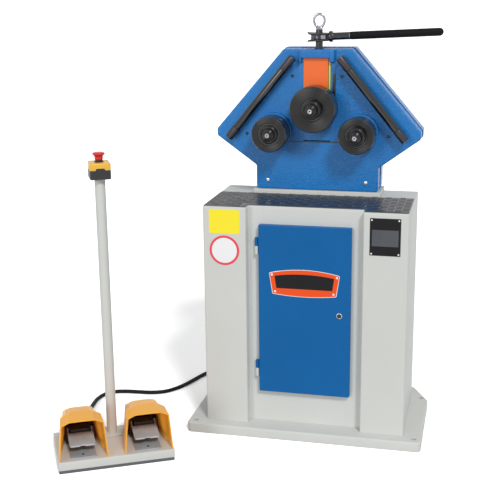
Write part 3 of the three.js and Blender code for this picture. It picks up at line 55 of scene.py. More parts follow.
# Light: each lamp is (name, level, spread, tilt from straight down, turn to the right), the last
# three in degrees. The floor has one level for the light that it gives back and one for how it looks.
WORLD_LEVEL = 0.45
LAMPS = (("key", 1.55, 11, 48, 32), ("fill", 0.72, 20, 76, -22))
FLOOR_HALF = 400.0
FLOOR_COLOUR = 0.55
FLOOR_SEEN = 1.66
FLOOR_ROUGHNESS = 0.9

# Shared sizes of the surfaces: gap between neighbours, least edges, and steps round a circle
GAP = 0.0003
FILM_EDGE = 0.0001
LEAST_RADIUS = 0.0002
SUPPORT = 0.0004
THIN_EDGE = 0.0004
FINE_EDGE = 0.0006
SOFT_EDGE = 0.001
CORNER_STEPS = 6
EDGE_STEPS = 4
WIDE_STEPS = 128
ROUND_STEPS = 96
MIDDLE_STEPS = 64
NARROW_STEPS = 48
SMALL_STEPS = 40
PIN_STEPS = 32
SCREW_STEPS = 24
HINGE_PIN_STEPS = 20
SHARP_ANGLE = math.radians(32)

# Head housing
HEAD_TOP_HALF = 0.116
HEAD_HALF = 0.351
NECK_HALF = 0.212
NECK_HEIGHT = 0.082
SHOULDER_LOW = 0.183
SHOULDER_HIGH = 0.207
HEAD_CORNER = 0.010
HEAD_EDGE = 0.0055
REAR_GROW = 0.003
REAR_EDGE = 0.004
HOUSING_WALL = 0.016
FRONT_WALL = 0.020
REAR_WALL = 0.014
SLOT_HALF = 0.062
SLOT_BOTTOM = 0.170
SLOT_TOP = 0.436
SLOT_CORNER = 0.003
SHAFT_BORE = 0.0255
TAPPED_RADIUS = 0.0054
TAPPED_DEPTH = 0.012
TAPPED_PLACES = ((0.085, 0.389), (0.244, 0.192))
HEAD_SCREW_PLACE = (0.170, 0.0314)

# Cabinet, base and mat
SHEET = 0.003
COLUMN_WIDTH = 0.147
RECESS_DEPTH = 0.035
CABINET_CORNER = 0.006
BASE_CORNER = 0.016
BASE_EDGE = 0.004
MAT_EDGE = 0.0012
MAT_CORNER = 0.003
MAT_MARGIN = 0.003
TREAD_TILE = 0.024
TREAD_BARS = 4
TREAD_RISE = 0.0014
TREAD_HALF_SHARE = 0.3
TREAD_TAPER = 0.12

# Rolls and shafts
ROLL_EDGE = 0.0022
FACE_STEP = 0.002
GROOVE_WIDTH = 0.003
GROOVE_DEPTH = 0.004
FRONT_DISC = 0.025
REAR_DISC = 0.022

# Pedal station
STATION_ANGLE = math.radians(28)
STATION_PLACE = (-0.597, -0.443)

# Control cable: its diameter and the points that it follows over the floor
CABLE_DIAMETER = 0.014
CABLE_STEPS = 20
CABLE_SPAN_STEPS = 12
CABLE_ROUTE = (
    (-0.7359, -0.4055, 0.0628), (-0.7495, -0.3799, 0.0623), (-0.764, -0.351, 0.050),
    (-0.779, -0.320, 0.025), (-0.792, -0.288, 0.0095), (-0.799, -0.255, 0.0073),
    (-0.801, -0.205, 0.0073), (-0.797, -0.156, 0.0073), (-0.803, -0.106, 0.0073),
    (-0.806, -0.058, 0.0073), (-0.797, -0.012, 0.0073), (-0.772, 0.020, 0.0073),
    (-0.730, 0.035, 0.0073), (-0.680, 0.040, 0.0073), (-0.625, 0.046, 0.0073),
    (-0.580, 0.066, 0.0073), (-0.548, 0.103, 0.0073), (-0.524, 0.150, 0.0073),
    (-0.504, 0.205, 0.0073), (-0.481, 0.267, 0.0073), (-0.448, 0.325, 0.0073),
    (-0.398, 0.366, 0.0073), (-0.338, 0.384, 0.0073), (-0.276, 0.379, 0.0073),
    (-0.228, 0.358, 0.008), (-0.207, 0.325, 0.017), (-0.201, 0.290, 0.035),
    (-0.200, 0.258, 0.053), (-0.200, 0.228, 0.063), (-0.200, 0.1983, 0.0643),
)


# Outlines and profiles
def unit(vectors):
    """Each row divided by its length."""
    return vectors / np.linalg.norm(vectors, axis=-1, keepdims=True)


def left_of(vectors):
    """Each plane direction turned a quarter turn anticlockwise."""
    return np.stack([-vectors[:, 1], vectors[:, 0]], 1)


def rounded(corners, radius, inset=0.0, steps=CORNER_STEPS):
    """Anticlockwise polygon moved inwards by the inset, each corner an arc tangent to its two sides.

    A corner's arc has the radius less the inset where the outline turns left, and plus the inset where
    it turns right, so that outlines of different insets have the same count of points.
    """
    points = np.asarray(corners, float)
    before = unit(points - np.roll(points, 1, 0))
    after = unit(np.roll(points, -1, 0) - points)
    normal = left_of(before) + left_of(after)
    points = points + normal * (2 * inset / (normal**2).sum(1))[:, None]
    turn = np.arctan2(before[:, 0] * after[:, 1] - before[:, 1] * after[:, 0], (before * after).sum(1))
    radii = np.maximum(np.asarray(radius) - inset * np.sign(turn), LEAST_RADIUS)
    start = points - before * (radii * np.tan(np.abs(turn) / 2))[:, None]
    centre = start + left_of(before) * (radii * np.sign(turn))[:, None]
    arm = (start - centre)[:, None, :]
    angle = turn[:, None] * np.linspace(0, 1, steps + 1)[None, :]
    x = arm[..., 0] * np.cos(angle) - arm[..., 1] * np.sin(angle)
    y = arm[..., 0] * np.sin(angle) + arm[..., 1] * np.cos(angle)
    return (centre[:, None, :] + np.stack([x, y], 2)).reshape(-1, 2)


def rectangle(x0, x1, y0, y1):
    """Four corners between two values on each axis, anticlockwise from the lowest."""
    return [(x0, y0), (x1, y0), (x1, y1), (x0, y1)]


def circle(centre, radius, steps=SMALL_STEPS):
    """Anticlockwise circle about the centre."""
    angle = np.linspace(0, 2 * math.pi, steps, endpoint=False)
    return np.stack([centre[0] + radius * np.cos(angle), centre[1] + radius * np.sin(angle)], 1)


def soft_profile(corners, steps=EDGE_STEPS):
    """Open profile of (radius, place) corners, each inner one rounded by the third number it gives.

    The round is a parabola that leaves each side where an arc of that radius would touch it.
    """
    result = [corners[0][:2]]
    for before, corner, after in zip(corners, corners[1:], corners[2:]):
        fillet = corner[2] if len(corner) > 2 else 0.0
        if fillet == 0.0:
            result.append(corner[:2])
            continue
        here = np.array(corner[:2])
        back = unit(np.array(before[:2]) - here)
        ahead = unit(np.array(after[:2]) - here)
        reach = fillet / math.tan(math.acos(float(np.clip(back @ ahead, -1, 1))) / 2)
        start = here + back * reach
        end = here + ahead * reach
        share = np.linspace(0, 1, steps + 1)[:, None]
        result.extend(map(tuple, (1 - share) ** 2 * start + 2 * share * (1 - share) * here + share**2 * end))
    result.append(corners[-1][:2])
    return np.array(result)


def rod(radius, start, end, edge=FINE_EDGE):
    """Profile of a solid cylinder with both rims rounded."""
    return soft_profile([(0, start), (radius, start, edge), (radius, end, edge), (0, end)])


def placed(table, start):
    """Profile table of (radius, place, round) with its places counted from a start."""
    return [(radius, start + place, *rest) for radius, place, *rest in table]


def edge_rows(low, high, top_edge=0.0, low_edge=0.0, steps=EDGE_STEPS):
    """Rows of (inset, height) down a wall from its top cap to its lower cap, with quarter-round edges."""
    rows = []
    angle = np.linspace(0, math.pi / 2, steps + 1)
    if top_edge:
        rows += [(top_edge + SUPPORT, high)]
        rows += list(zip(top_edge * (1 - np.sin(angle)), high - top_edge * (1 - np.cos(angle))))
    else:
        rows += [(0.0, high)]
    if low_edge:
        rows += list(zip(low_edge * (1 - np.cos(angle)), low + low_edge * (1 - np.sin(angle))))
        rows += [(low_edge + SUPPORT, low)]
    else:
        rows += [(0.0, low)]
    return rows


# Surfaces: each is (points, quads, triangles, uv of the quads, uv of the triangles)
AXES = {
    "x": np.array([(0, 1, 0), (0, 0, 1), (1, 0, 0)], float),
    "y": np.array([(1, 0, 0), (0, 0, 1), (0, -1, 0)], float),
    "z": np.eye(3),
}


def closed_strip(first, second):
    """Quads between two closed rings of vertex numbers, each joined to the next number round."""
    return np.stack([first, np.roll(first, -1), np.roll(second, -1), second], 1)


def cap(rings, numbers, upward):
    """Triangles that fill the first ring less the other rings, facing up or down their own axis."""
    loops = [[Vector((x, y, 0)) for x, y in ring] for ring in rings]
    corners = np.array(tessellate_polygon(loops))
    flat = np.concatenate(rings)
    a, b, c = flat[corners[:, 0]], flat[corners[:, 1]], flat[corners[:, 2]]
    area = (b[:, 0] - a[:, 0]) * (c[:, 1] - a[:, 1]) - (b[:, 1] - a[:, 1]) * (c[:, 0] - a[:, 0])
    corners = corners[np.abs(area) > 0]
    area = area[np.abs(area) > 0]
    turned = (area > 0) != upward
    corners[turned] = corners[turned][:, ::-1]
    return np.concatenate(numbers)[corners]


def panel(outline_at, rows, holes=(), axis="z"):
    """Solid between two caps: the outline at each row's inset, set at that row's height along the axis.

    A hole is (outline at an inset, rows, through). Its rows run down its wall from the top cap to the
    lower cap, or to a floor of its own where it is blind, and a negative inset widens it.
    """
    points = []
    quads = []
    triangles = []
    count = 0

    def add_rings(at, wall_rows):
        """Adds a ring of points for each row, and gives back their numbers and their plan."""
        nonlocal count
        numbers = []
        flat = []
        for inset, height in wall_rows:
            ring = at(inset)
            points.append(np.column_stack([ring, np.full(len(ring), height)]))
            numbers.append(np.arange(count, count + len(ring)))
            flat.append(ring)
            count += len(ring)
        return numbers, flat

    numbers, flat = add_rings(outline_at, rows)
    for first, second in zip(numbers, numbers[1:]):
        quads.append(closed_strip(first, second)[:, ::-1])
    tops = [(flat[0], numbers[0])]
    lows = [(flat[-1], numbers[-1])]
    for hole_at, hole_rows, through in holes:
        hole_numbers, hole_flat = add_rings(hole_at, hole_rows)
        for first, second in zip(hole_numbers, hole_numbers[1:]):
            quads.append(closed_strip(first, second))
        tops.append((hole_flat[0], hole_numbers[0]))
        if through:
            lows.append((hole_flat[-1], hole_numbers[-1]))
        else:
            triangles.append(cap([hole_flat[-1]], [hole_numbers[-1]], True))
    triangles.append(cap([ring for ring, _ in tops], [n for _, n in tops], True))
    triangles.append(cap([ring for ring, _ in lows], [n for _, n in lows], False))
    return np.concatenate(points) @ AXES[axis], np.concatenate(quads), np.concatenate(triangles), None, None


def slab(outline, low, high, axis="z", corner=0.003, edge=0.0015, low_edge=None, holes=()):
    """Plate of an outline between two heights: arcs at its corners, quarter rounds at its two rims."""
    low_edge = edge if low_edge is None else low_edge
    return panel(lambda inset: rounded(outline, corner, inset), edge_rows(low, high, edge, low_edge),
                 holes, axis)


def block(low, high, edge=0.0015, corner=None):
    """Box between two corners, with rounded upright corners and rounded edges."""
    outline = rectangle(low[0], high[0], low[1], high[1])
    return slab(outline, low[2], high[2], "z", edge if corner is None else corner, edge)


def lathe(profile, centre=(0, 0, 0), axis=(0, 0, 1), steps=ROUND_STEPS, ring=False):
    """Body of revolution: profile rows of (radius, place along the axis) turned about the centre line.

    The map's u is the angle in turns and its v the length along the profile in metres. A ring's profile
    closes on itself.
    """
    profile = np.asarray(profile, float)
    if ring:
        profile = np.concatenate([profile, profile[:1]])
    along = np.array(axis, float) / np.linalg.norm(axis)
    across = unit(np.cross(along, (0, 0, 1) if abs(along[2]) < 0.9 else (1, 0, 0))[None])[0]
    other = np.cross(along, across)
    angle = np.linspace(0, 2 * math.pi, steps, endpoint=False)
    spokes = np.cos(angle)[:, None] * across + np.sin(angle)[:, None] * other
    rows = profile[:, 0, None, None] * spokes + profile[:, 1, None, None] * along
    points = (np.asarray(centre, float) + rows).reshape(-1, 3)
    numbers = np.arange(len(profile) * steps).reshape(len(profile), steps)
    if ring:
        numbers[-1] = numbers[0]
        points = points[:-steps]
    numbers = np.where(profile[:, :1] < LEAST_RADIUS / 100, numbers[:, :1], numbers)
    length = np.concatenate([[0], np.cumsum(np.linalg.norm(np.diff(profile, axis=0), axis=1))])
    first, second = numbers[:-1], numbers[1:]
    grid = np.stack([first, np.roll(first, -1, 1), np.roll(second, -1, 1), second], 2)
    u = np.arange(steps) / steps
    u = np.stack([u, u + 1 / steps, u + 1 / steps, u], 1)
    u = np.broadcast_to(u, (len(profile) - 1, steps, 4))
    v = np.stack([length[:-1], length[:-1], length[1:], length[1:]], 1)
    v = np.broadcast_to(v[:, None, :], u.shape)
    grid = grid.reshape(-1, 4)
    uv = np.stack([u, v], 3).reshape(-1, 4, 2)
    near = grid[:, 0] == grid[:, 1]
    far = grid[:, 2] == grid[:, 3]
    whole = ~near & ~far
    triangles = np.concatenate([grid[near & ~far][:, [0, 2, 3]], grid[far & ~near][:, [0, 1, 2]]])
    triangle_uv = np.concatenate([uv[near & ~far][:, [0, 2, 3]], uv[far & ~near][:, [0, 1, 2]]])
    return points, grid[whole], triangles, uv[whole], triangle_uv


def sweep(path, radius_at, steps=16):
    """Tube along a path: a circle of the radius at each point, its spokes carried on without twist."""
    path = np.asarray(path, float)
    tangent = unit(np.gradient(path, axis=0))
    side = np.cross(tangent[0], (0, 0, 1.0))
    side = side if np.linalg.norm(side) > 0.1 else np.cross(tangent[0], (1.0, 0, 0))
    sides = []
    for direction in tangent:
        side = side - direction * (side @ direction)
        side = side / np.linalg.norm(side)
        sides.append(side)
    sides = np.array(sides)
    other = np.cross(tangent, sides)
    angle = np.linspace(0, 2 * math.pi, steps, endpoint=False)
    radius = np.broadcast_to(np.asarray(radius_at, float), (len(path),))
    spokes = np.cos(angle)[None, :, None] * sides[:, None] + np.sin(angle)[None, :, None] * other[:, None]
    rows = path[:, None] + radius[:, None, None] * spokes
    points = np.concatenate([rows.reshape(-1, 3), path[:1], path[-1:]])
    numbers = np.arange(len(path) * steps).reshape(len(path), steps)
    first, second = numbers[:-1], numbers[1:]
    grid = np.stack([first, np.roll(first, -1, 1), np.roll(second, -1, 1), second], 2).reshape(-1, 4)
    length = np.concatenate([[0], np.cumsum(np.linalg.norm(np.diff(path, axis=0), axis=1))])
    u = np.arange(steps) / steps
    u = np.broadcast_to(np.stack([u, u + 1 / steps, u + 1 / steps, u], 1), (len(path) - 1, steps, 4))
    v = np.stack([length[:-1], length[:-1], length[1:], length[1:]], 1)
    v = np.broadcast_to(v[:, None, :], u.shape)
    uv = np.stack([u, v], 3).reshape(-1, 4, 2)
    start = len(points) - 2
    ends = [
        np.stack([np.full(steps, start), np.roll(numbers[0], -1), numbers[0]], 1),
        np.stack([np.full(steps, start + 1), numbers[-1], np.roll(numbers[-1], -1)], 1),
    ]
    return points, grid, np.concatenate(ends), uv, np.zeros((2 * steps, 3, 2))


def skin(sections):
    """Closed solid over cross-sections with the same count of points: quads from each to the next.

    The two ends are capped flat, in a plane through the mean of the end's points.
    """
    sections = np.asarray(sections, float)
    rows, steps = sections.shape[:2]
    numbers = np.arange(rows * steps).reshape(rows, steps)
    quads = np.concatenate([closed_strip(a, b) for a, b in zip(numbers, numbers[1:])])
    triangles = []
    for end, upward in ((0, False), (-1, True)):
        ring = sections[end]
        normal = np.cross(ring - ring.mean(0), np.roll(ring, -1, 0) - ring.mean(0)).sum(0)
        normal = normal / np.linalg.norm(normal)
        across = ring[0] - ring.mean(0)
        across = across / np.linalg.norm(across)
        flat = np.stack([(ring - ring.mean(0)) @ across, (ring - ring.mean(0)) @ np.cross(normal, across)], 1)
        triangles.append(cap([flat], [numbers[end]], upward))
    return sections.reshape(-1, 3), quads, np.concatenate(triangles), None, None


def moved(surface, change):
    """The surface with its points passed through a function."""
    return (change(surface[0]), *surface[1:])


def station(points):
    """Points in the pedal station's own frame turned about Z and set on its place on the floor."""
    cos, sin = math.cos(STATION_ANGLE), math.sin(STATION_ANGLE)
    x = STATION_PLACE[0] + points[:, 0] * cos - points[:, 1] * sin
    y = STATION_PLACE[1] + points[:, 0] * sin + points[:, 1] * cos
    return np.stack([x, y, points[:, 2]], 1)


def outward(surface):
    """The surface with its faces turned round if its signed volume is negative."""
    points, quads, triangles, quad_uv, triangle_uv = surface
    halves = np.concatenate([quads[:, [0, 1, 2]], quads[:, [0, 2, 3]], triangles.reshape(-1, 3)])
    a, b, c = points[halves[:, 0]], points[halves[:, 1]], points[halves[:, 2]]
    if (a * np.cross(b, c)).sum() >= 0:
        return surface
    turn = lambda uv: None if uv is None else uv[:, ::-1]
    return points, quads[:, ::-1], triangles[:, ::-1], turn(quad_uv), turn(triangle_uv)


def piece(name, surfaces, body, finish, replaces=()):
    """Mesh object of closed surfaces that rides a body, smooth but where two faces meet sharply.

    Its finish is a name in the table of finishes. It carries a map where each of its surfaces has one,
    and stands for the solids that it replaces.
    """
    points = []
    faces = []
    uvs = []
    count = 0
    mapped = all(surface[3] is not None for surface in surfaces)
    for surface in map(outward, surfaces):
        points.append(surface[0])
        faces += (surface[1] + count).tolist() + (surface[2] + count).tolist()
        count += len(surface[0])
        if mapped:
            uvs += [surface[3].reshape(-1, 2), surface[4].reshape(-1, 2)]
    mesh = bpy.data.meshes.new(name)
    mesh.from_pydata(np.concatenate(points).tolist(), [], faces)
    if mapped:
        layer = mesh.uv_layers.new(name="turned")
        layer.data.foreach_set("uv", np.concatenate(uvs).ravel())
    mesh.polygons.foreach_set("use_smooth", np.ones(len(mesh.polygons), bool))
    mesh.set_sharp_from_angle(angle=SHARP_ANGLE)
    mesh.materials.append(FINISHES[finish])
    mesh.update()
    made = bpy.data.objects.new(name, mesh)
    bpy.context.scene.collection.objects.link(made)
    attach(made, body)
    if replaces:
        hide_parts(*replaces)
    return made


# Materials. The cloud range holds most values of a cloud pattern
CLOUD_RANGE = (0.3, 0.7)


class Finish:
    """A material's node tree, with short calls that add and join its nodes."""

    def __init__(self, name, colour, roughness, metallic=0.0, specular=0.5):
        """New material with plain values, which the patterns then take the place of."""
        self.material = bpy.data.materials.new(name)
        self.material.use_nodes = True
        self.tree = self.material.node_tree
        self.shader = self.tree.nodes["Principled BSDF"]
        self.set(self.shader, "Base Color", (*colour, 1))
        self.set(self.shader, "Roughness", roughness)
        self.set(self.shader, "Metallic", metallic)
        self.set(self.shader, "Specular IOR Level", specular)

    def set(self, node, socket, value):
        """Links a socket to another, or gives it a value."""
        if isinstance(value, bpy.types.NodeSocket):
            self.tree.links.new(value, node.inputs[socket])
        else:
            node.inputs[socket].default_value = value

    def node(self, kind, **inputs):
        """New node with its settings and inputs given by name, as its first output."""
        made = self.tree.nodes.new(kind)
        for name, value in inputs.items():
            if hasattr(made, name):
                setattr(made, name, value)
            else:
                self.set(made, name.replace("_", " "), value)
        return made.outputs[0]

    def place(self, scale=(1, 1, 1), mapped=False):
        """Object coordinates, or the piece's own map, scaled along each axis."""
        source = self.tree.nodes.new("ShaderNodeTexCoord").outputs["UV" if mapped else "Object"]
        return self.node("ShaderNodeMapping", Vector=source, Scale=scale)

    def noise(self, place, scale, detail=3.0, roughness=0.5):
        """Cloud pattern from 0 to 1, the scale its count of clouds in a metre."""
        return self.node("ShaderNodeTexNoise", Vector=place, Scale=scale, Detail=detail, Roughness=roughness)

    def ramp(self, value, low, high, first, last):
        """The value spread from one number to another between two places."""
        made = self.tree.nodes.new("ShaderNodeMapRange")
        for socket, number in zip(("Value", "From Min", "From Max", "To Min", "To Max"),
                                  (value, low, high, first, last)):
            self.set(made, socket, number)
        return made.outputs[0]

    def mix(self, factor, first, second):
        """Colour between two colours, by the factor."""
        made = self.tree.nodes.new("ShaderNodeMix")
        made.data_type = "RGBA"
        self.tree.links.new(factor, made.inputs[0])
        for socket, colour in ((6, first), (7, second)):
            if isinstance(colour, bpy.types.NodeSocket):
                self.tree.links.new(colour, made.inputs[socket])
            else:
                made.inputs[socket].default_value = (*colour, 1)
        return made.outputs[2]

    def clouded(self, pattern, colour, darkest, brightest):
        """Colour whose brightness follows a cloud pattern, from one factor to another."""
        share = self.ramp(pattern, *CLOUD_RANGE, 0.0, 1.0)
        return self.mix(share, shade(colour, darkest), shade(colour, brightest))

    def bump(self, height, distance):
        """Normal that stands for a height pattern of the given depth in metres."""
        return self.node("ShaderNodeBump", Height=height, Distance=distance, Strength=1.0)

    def done(self, colour, roughness=None, normal=None):
        """Joins the patterns to the shader and gives back the material."""
        for socket, value in (("Base Color", colour), ("Roughness", roughness), ("Normal", normal)):
            if value is not None:
                self.tree.links.new(value, self.shader.inputs[socket])
        return self.material


def linear(red, green, blue):
    """Display colour from 0 to 255 as linear light."""
    value = np.array([red, green, blue]) / 255
    return tuple(np.where(value <= 0.04045, value / 12.92, ((value + 0.055) / 1.055) ** 2.4))


def shade(colour, factor):
    """The colour's linear parts times a factor, none of them past 1."""
    return tuple(min(1.0, part * factor) for part in colour)


def paint(name, colour, roughness, peel, peel_depth, wear=0.05, coat=0.0, specular=0.3):
    """Stoved paint: an even coat with orange peel of the given size, faint clouds and dull rub marks."""
    made = Finish(name, colour, roughness, 0.0, specular)
    place = made.place()
    cloud = made.noise(place, 4.0, 4.0)
    grain = made.noise(place, 1 / peel, 4.0, 0.6)
    speck = made.noise(place, 3 / peel, 1.0)
    rub = made.noise(place, 14.0, 6.0, 0.7)
    tint = made.clouded(cloud, colour, 1 - wear, 1 + wear)
    tint = made.mix(made.ramp(speck, 0.35, 0.75, 0.0, wear * 2), tint, shade(colour, 1.5))
    dull = made.ramp(rub, 0.45, 0.75, roughness - 0.02, roughness + 0.08)
    made.set(made.shader, "Coat Weight", coat)
    made.set(made.shader, "Coat Roughness", 0.25)
    return made.done(tint, dull, made.bump(grain, peel_depth))


def turned_steel(name, colour, roughness, metallic, marks=0.00004, smear=0.06, specular=0.5,
                 sheen_across=0.0):
    """Turned metal: fine tool marks round the axis, in the piece's own map, with oily patches."""
    made = Finish(name, colour, roughness, metallic, specular)
    made.set(made.shader, "Anisotropic", sheen_across)
    made.set(made.shader, "Anisotropic Rotation", 0.25)
    around = made.node("ShaderNodeTangent", direction_type="UV_MAP", uv_map="turned")
    made.set(made.shader, "Tangent", around)
    lines = made.noise(made.place((1.5, 1400.0, 1.0), mapped=True), 1.0, 3.0, 0.6)
    patch = made.noise(made.place(), 28.0, 4.0, 0.6)
    rough = made.ramp(patch, *CLOUD_RANGE, roughness - smear, roughness + smear)
    tint = made.clouded(lines, colour, 0.85, 1.15)
    return made.done(tint, rough, made.bump(lines, marks))


def ground_steel(name, colour, roughness, metallic=1.0, grain=900.0):
    """Ground or drawn metal: short marks one way, in the object's own directions."""
    made = Finish(name, colour, roughness, metallic)
    lines = made.noise(made.place((1.0, 1.0, 0.04)), grain, 3.0, 0.6)
    patch = made.noise(made.place(), 22.0, 4.0, 0.6)
    rough = made.ramp(patch, *CLOUD_RANGE, roughness - 0.06, roughness + 0.08)
    tint = made.clouded(patch, colour, 0.86, 1.1)
    return made.done(tint, rough, made.bump(lines, 0.00003))


def cast(name, colour, roughness, metallic=0.4):
    """Sand-cast metal: rough grain in two sizes with darker pits."""
    made = Finish(name, colour, roughness, metallic)
    place = made.place()
    coarse = made.noise(place, 260.0, 4.0, 0.6)
    pits = made.noise(place, 90.0, 2.0)
    tint = made.mix(made.ramp(pits, 0.35, 0.6, 0.0, 1.0), shade(colour, 0.72), shade(colour, 1.1))
    return made.done(tint, made.ramp(coarse, *CLOUD_RANGE, roughness - 0.1, roughness + 0.1),
                     made.bump(coarse, 0.0004))


def moulded(name, colour, roughness, grain=0.0012, depth=0.00008, wear=0.08, specular=0.4):
    """Moulded plastic or rubber: fine spark grain, slight clouds and a dusty tint."""
    made = Finish(name, colour, roughness, 0.0, specular)
    place = made.place()
    fine = made.noise(place, 1 / grain, 2.0)
    cloud = made.noise(place, 18.0, 4.0)
    tint = made.clouded(cloud, colour, 1 - wear, 1 + wear)
    rough = made.ramp(cloud, *CLOUD_RANGE, roughness - 0.05, roughness + 0.05)
    return made.done(tint, rough, made.bump(fine, depth))


GREY = linear(207, 209, 205)
BLUE = linear(12, 95, 159)

FINISHES = {
    "grey_paint": paint("grey_paint", GREY, 0.5, 0.0016, 0.00006, 0.02, 0.0, 0.25),
    "blue_paint": paint("blue_paint", BLUE, 0.34, 0.0026, 0.00016, 0.05, 0.0, 0.15),
    "black_steel": turned_steel("black_steel", linear(12, 12, 14), 0.32, 0.0, 0.00008, 0.06, 0.4, 0.9),
    "plain_black": ground_steel("plain_black", linear(20, 20, 22), 0.34, 0.0),
    "bright_steel": turned_steel("bright_steel", linear(205, 206, 208), 0.2, 1.0),
    "ground_bright": ground_steel("ground_bright", linear(140, 142, 148), 0.25),
    "cast_iron": cast("cast_iron", linear(92, 96, 100), 0.6),
    "motor_paint": paint("motor_paint", linear(70, 104, 136), 0.45, 0.002, 0.0002, 0.08, 0.1),
    "grip_rubber": moulded("grip_rubber", linear(19, 18, 21), 0.6, 0.0016, 0.00012, specular=0.1),
    "mat_rubber": moulded("mat_rubber", linear(30, 31, 36), 0.30, 0.0014, 0.00006, specular=0.8),
    "cable_rubber": moulded("cable_rubber", linear(22, 22, 25), 0.45, 0.0014, 0.0001, specular=0.12),
    "orange_plate": paint("orange_plate", linear(248, 112, 46), 0.35, 0.004, 0.00003, 0.03, 0.0, 0.4),
    "guard_orange": paint("guard_orange", linear(255, 176, 54), 0.4, 0.0022, 0.0001, 0.03, 0.1, 0.4),
    "treadle_metal": ground_steel("treadle_metal", linear(176, 186, 192), 0.36, 0.0),
    "plate_metal": ground_steel("plate_metal", linear(160, 166, 172), 0.36, 0.0),
    "black_plastic": moulded("black_plastic", linear(36, 36, 39), 0.45, 0.0009, 0.00005),
    "cover_yellow": moulded("cover_yellow", linear(238, 186, 66), 0.35, 0.0012, 0.00005, 0.03),
    "stop_red": moulded("stop_red", linear(214, 32, 44), 0.22, 0.0016, 0.00003, 0.04),
    # The same blue paint as blue_paint, used on the head and its fittings, with its colour painted lighter:
    # painted light for the brighter light on the head. It also has more gloss and a coarser peel.
    "blue_paint_painted_lighter": paint("blue_paint_painted_lighter", linear(16, 114, 186), 0.24, 0.0052, 0.0016, 0.10, 0.0, 0.34),
    "bar_black": turned_steel("bar_black", linear(8, 8, 10), 0.15, 0.0, 0.000004, 0.01, 0.65),
    "bar_end_steel": turned_steel("bar_end_steel", linear(58, 56, 60), 0.3, 0.6, 0.00001, 0.02, 0.5),
    "eye_steel": ground_steel("eye_steel", linear(150, 153, 160), 0.22),
    "button_steel": ground_steel("button_steel", linear(96, 98, 104), 0.3),
    "rule_yellow": paint("rule_yellow", linear(206, 214, 92), 0.4, 0.002, 0.00002),
    "pad_rubber": moulded("pad_rubber", linear(92, 93, 98), 0.6),
    "badge_orange": paint("badge_orange", linear(240, 84, 30), 0.35, 0.003, 0.00002, 0.03, 0.0, 0.2),
    "plate_black": moulded("plate_black", linear(28, 28, 30), 0.45, 0.001, 0.00002, specular=0.12),
    "field_grey": moulded("field_grey", linear(84, 87, 92), 0.45, 0.001, 0.00002, specular=0.15),
    "label_yellow": paint("label_yellow", linear(250, 232, 40), 0.35, 0.003, 0.00001, 0.02, 0.2),
    "label_red": paint("label_red", linear(232, 70, 84), 0.35, 0.003, 0.00001, 0.02, 0.2),
    "label_white": paint("label_white", linear(240, 240, 242), 0.35, 0.003, 0.00001, 0.02, 0.2),
}


def translucent(finish, weight, scale, radius):
    """Lets light through a thin moulded wall: the reach in metres, and its share for each colour."""
    shader = finish.node_tree.nodes["Principled BSDF"]
    shader.inputs["Subsurface Weight"].default_value = weight
    shader.inputs["Subsurface Scale"].default_value = scale
    shader.inputs["Subsurface Radius"].default_value = radius


translucent(FINISHES["guard_orange"], 0.35, 0.012, (1.0, 0.45, 0.1))


# Camera, floor and light
def make_camera():
    """Pinhole camera at the place and with the axes that the photograph was taken from."""
    right, up = (Vector(v).normalized() for v in (CAMERA_RIGHT, CAMERA_UP))
    back = right.cross(up).normalized()
    up = back.cross(right)
    data = bpy.data.cameras.new("camera")
    data.sensor_width = SENSOR_WIDTH
    data.sensor_fit = "HORIZONTAL"
    data.lens = SENSOR_WIDTH * FOCAL_PIXELS / IMAGE_WIDTH_PIXELS
    data.clip_end = 2 * FLOOR_HALF
    camera = bpy.data.objects.new("camera", data)
    turn = Matrix((right, up, back)).transposed().to_4x4()
    camera.matrix_world = Matrix.Translation(CAMERA_PLACE) @ turn
    bpy.context.scene.collection.objects.link(camera)
    bpy.context.scene.camera = camera


def seen_directly(tree):
    """Socket that is 1 on rays from the camera, mirrors and glass, and 0 on rays that carry light."""
    path = tree.nodes.new("ShaderNodeLightPath")
    first = tree.nodes.new("ShaderNodeMath")
    first.operation = "MAXIMUM"
    tree.links.new(path.outputs["Is Camera Ray"], first.inputs[0])
    tree.links.new(path.outputs["Is Glossy Ray"], first.inputs[1])
    second = tree.nodes.new("ShaderNodeMath")
    second.operation = "MAXIMUM"
    tree.links.new(first.outputs[0], second.inputs[0])
    tree.links.new(path.outputs["Is Transmission Ray"], second.inputs[1])
    return second.outputs[0]


def make_light():
    """White world, dimmer where it lights the object than where it is seen, and two sun lamps."""
    world = bpy.data.worlds.new("studio")
    world.use_nodes = True
    tree = world.node_tree
    background = tree.nodes["Background"]
    background.inputs["Color"].default_value = (1, 1, 1, 1)
    level = tree.nodes.new("ShaderNodeMapRange")
    tree.links.new(seen_directly(tree), level.inputs["Value"])
    level.inputs["To Min"].default_value = WORLD_LEVEL
    level.inputs["To Max"].default_value = 1.0
    tree.links.new(level.outputs[0], background.inputs["Strength"])
    bpy.context.scene.world = world
    for name, strength, spread, tilt, turn in LAMPS:
        data = bpy.data.lights.new(name, "SUN")
        data.energy = strength
        data.angle = math.radians(spread)
        lamp = bpy.data.objects.new(name, data)
        lamp.rotation_euler = (math.radians(tilt), 0, math.radians(turn))
        bpy.context.scene.collection.objects.link(lamp)


def make_floor():
    """Wide plane at height zero that looks white and keeps the object's shadow."""
    mesh = bpy.data.meshes.new("floor")
    corners = [(x, y, 0) for x, y in rectangle(-FLOOR_HALF, FLOOR_HALF, -FLOOR_HALF, FLOOR_HALF)]
    mesh.from_pydata(corners, [], [(0, 1, 2, 3)])
    pale = Finish("floor", (FLOOR_COLOUR, FLOOR_COLOUR, FLOOR_COLOUR), FLOOR_ROUGHNESS, specular=0.0)
    seen = pale.ramp(seen_directly(pale.tree), 0.0, 1.0, FLOOR_COLOUR, FLOOR_SEEN)
    mesh.materials.append(pale.done(seen))
    floor = bpy.data.objects.new("floor", mesh)
    bpy.context.scene.collection.objects.link(floor)


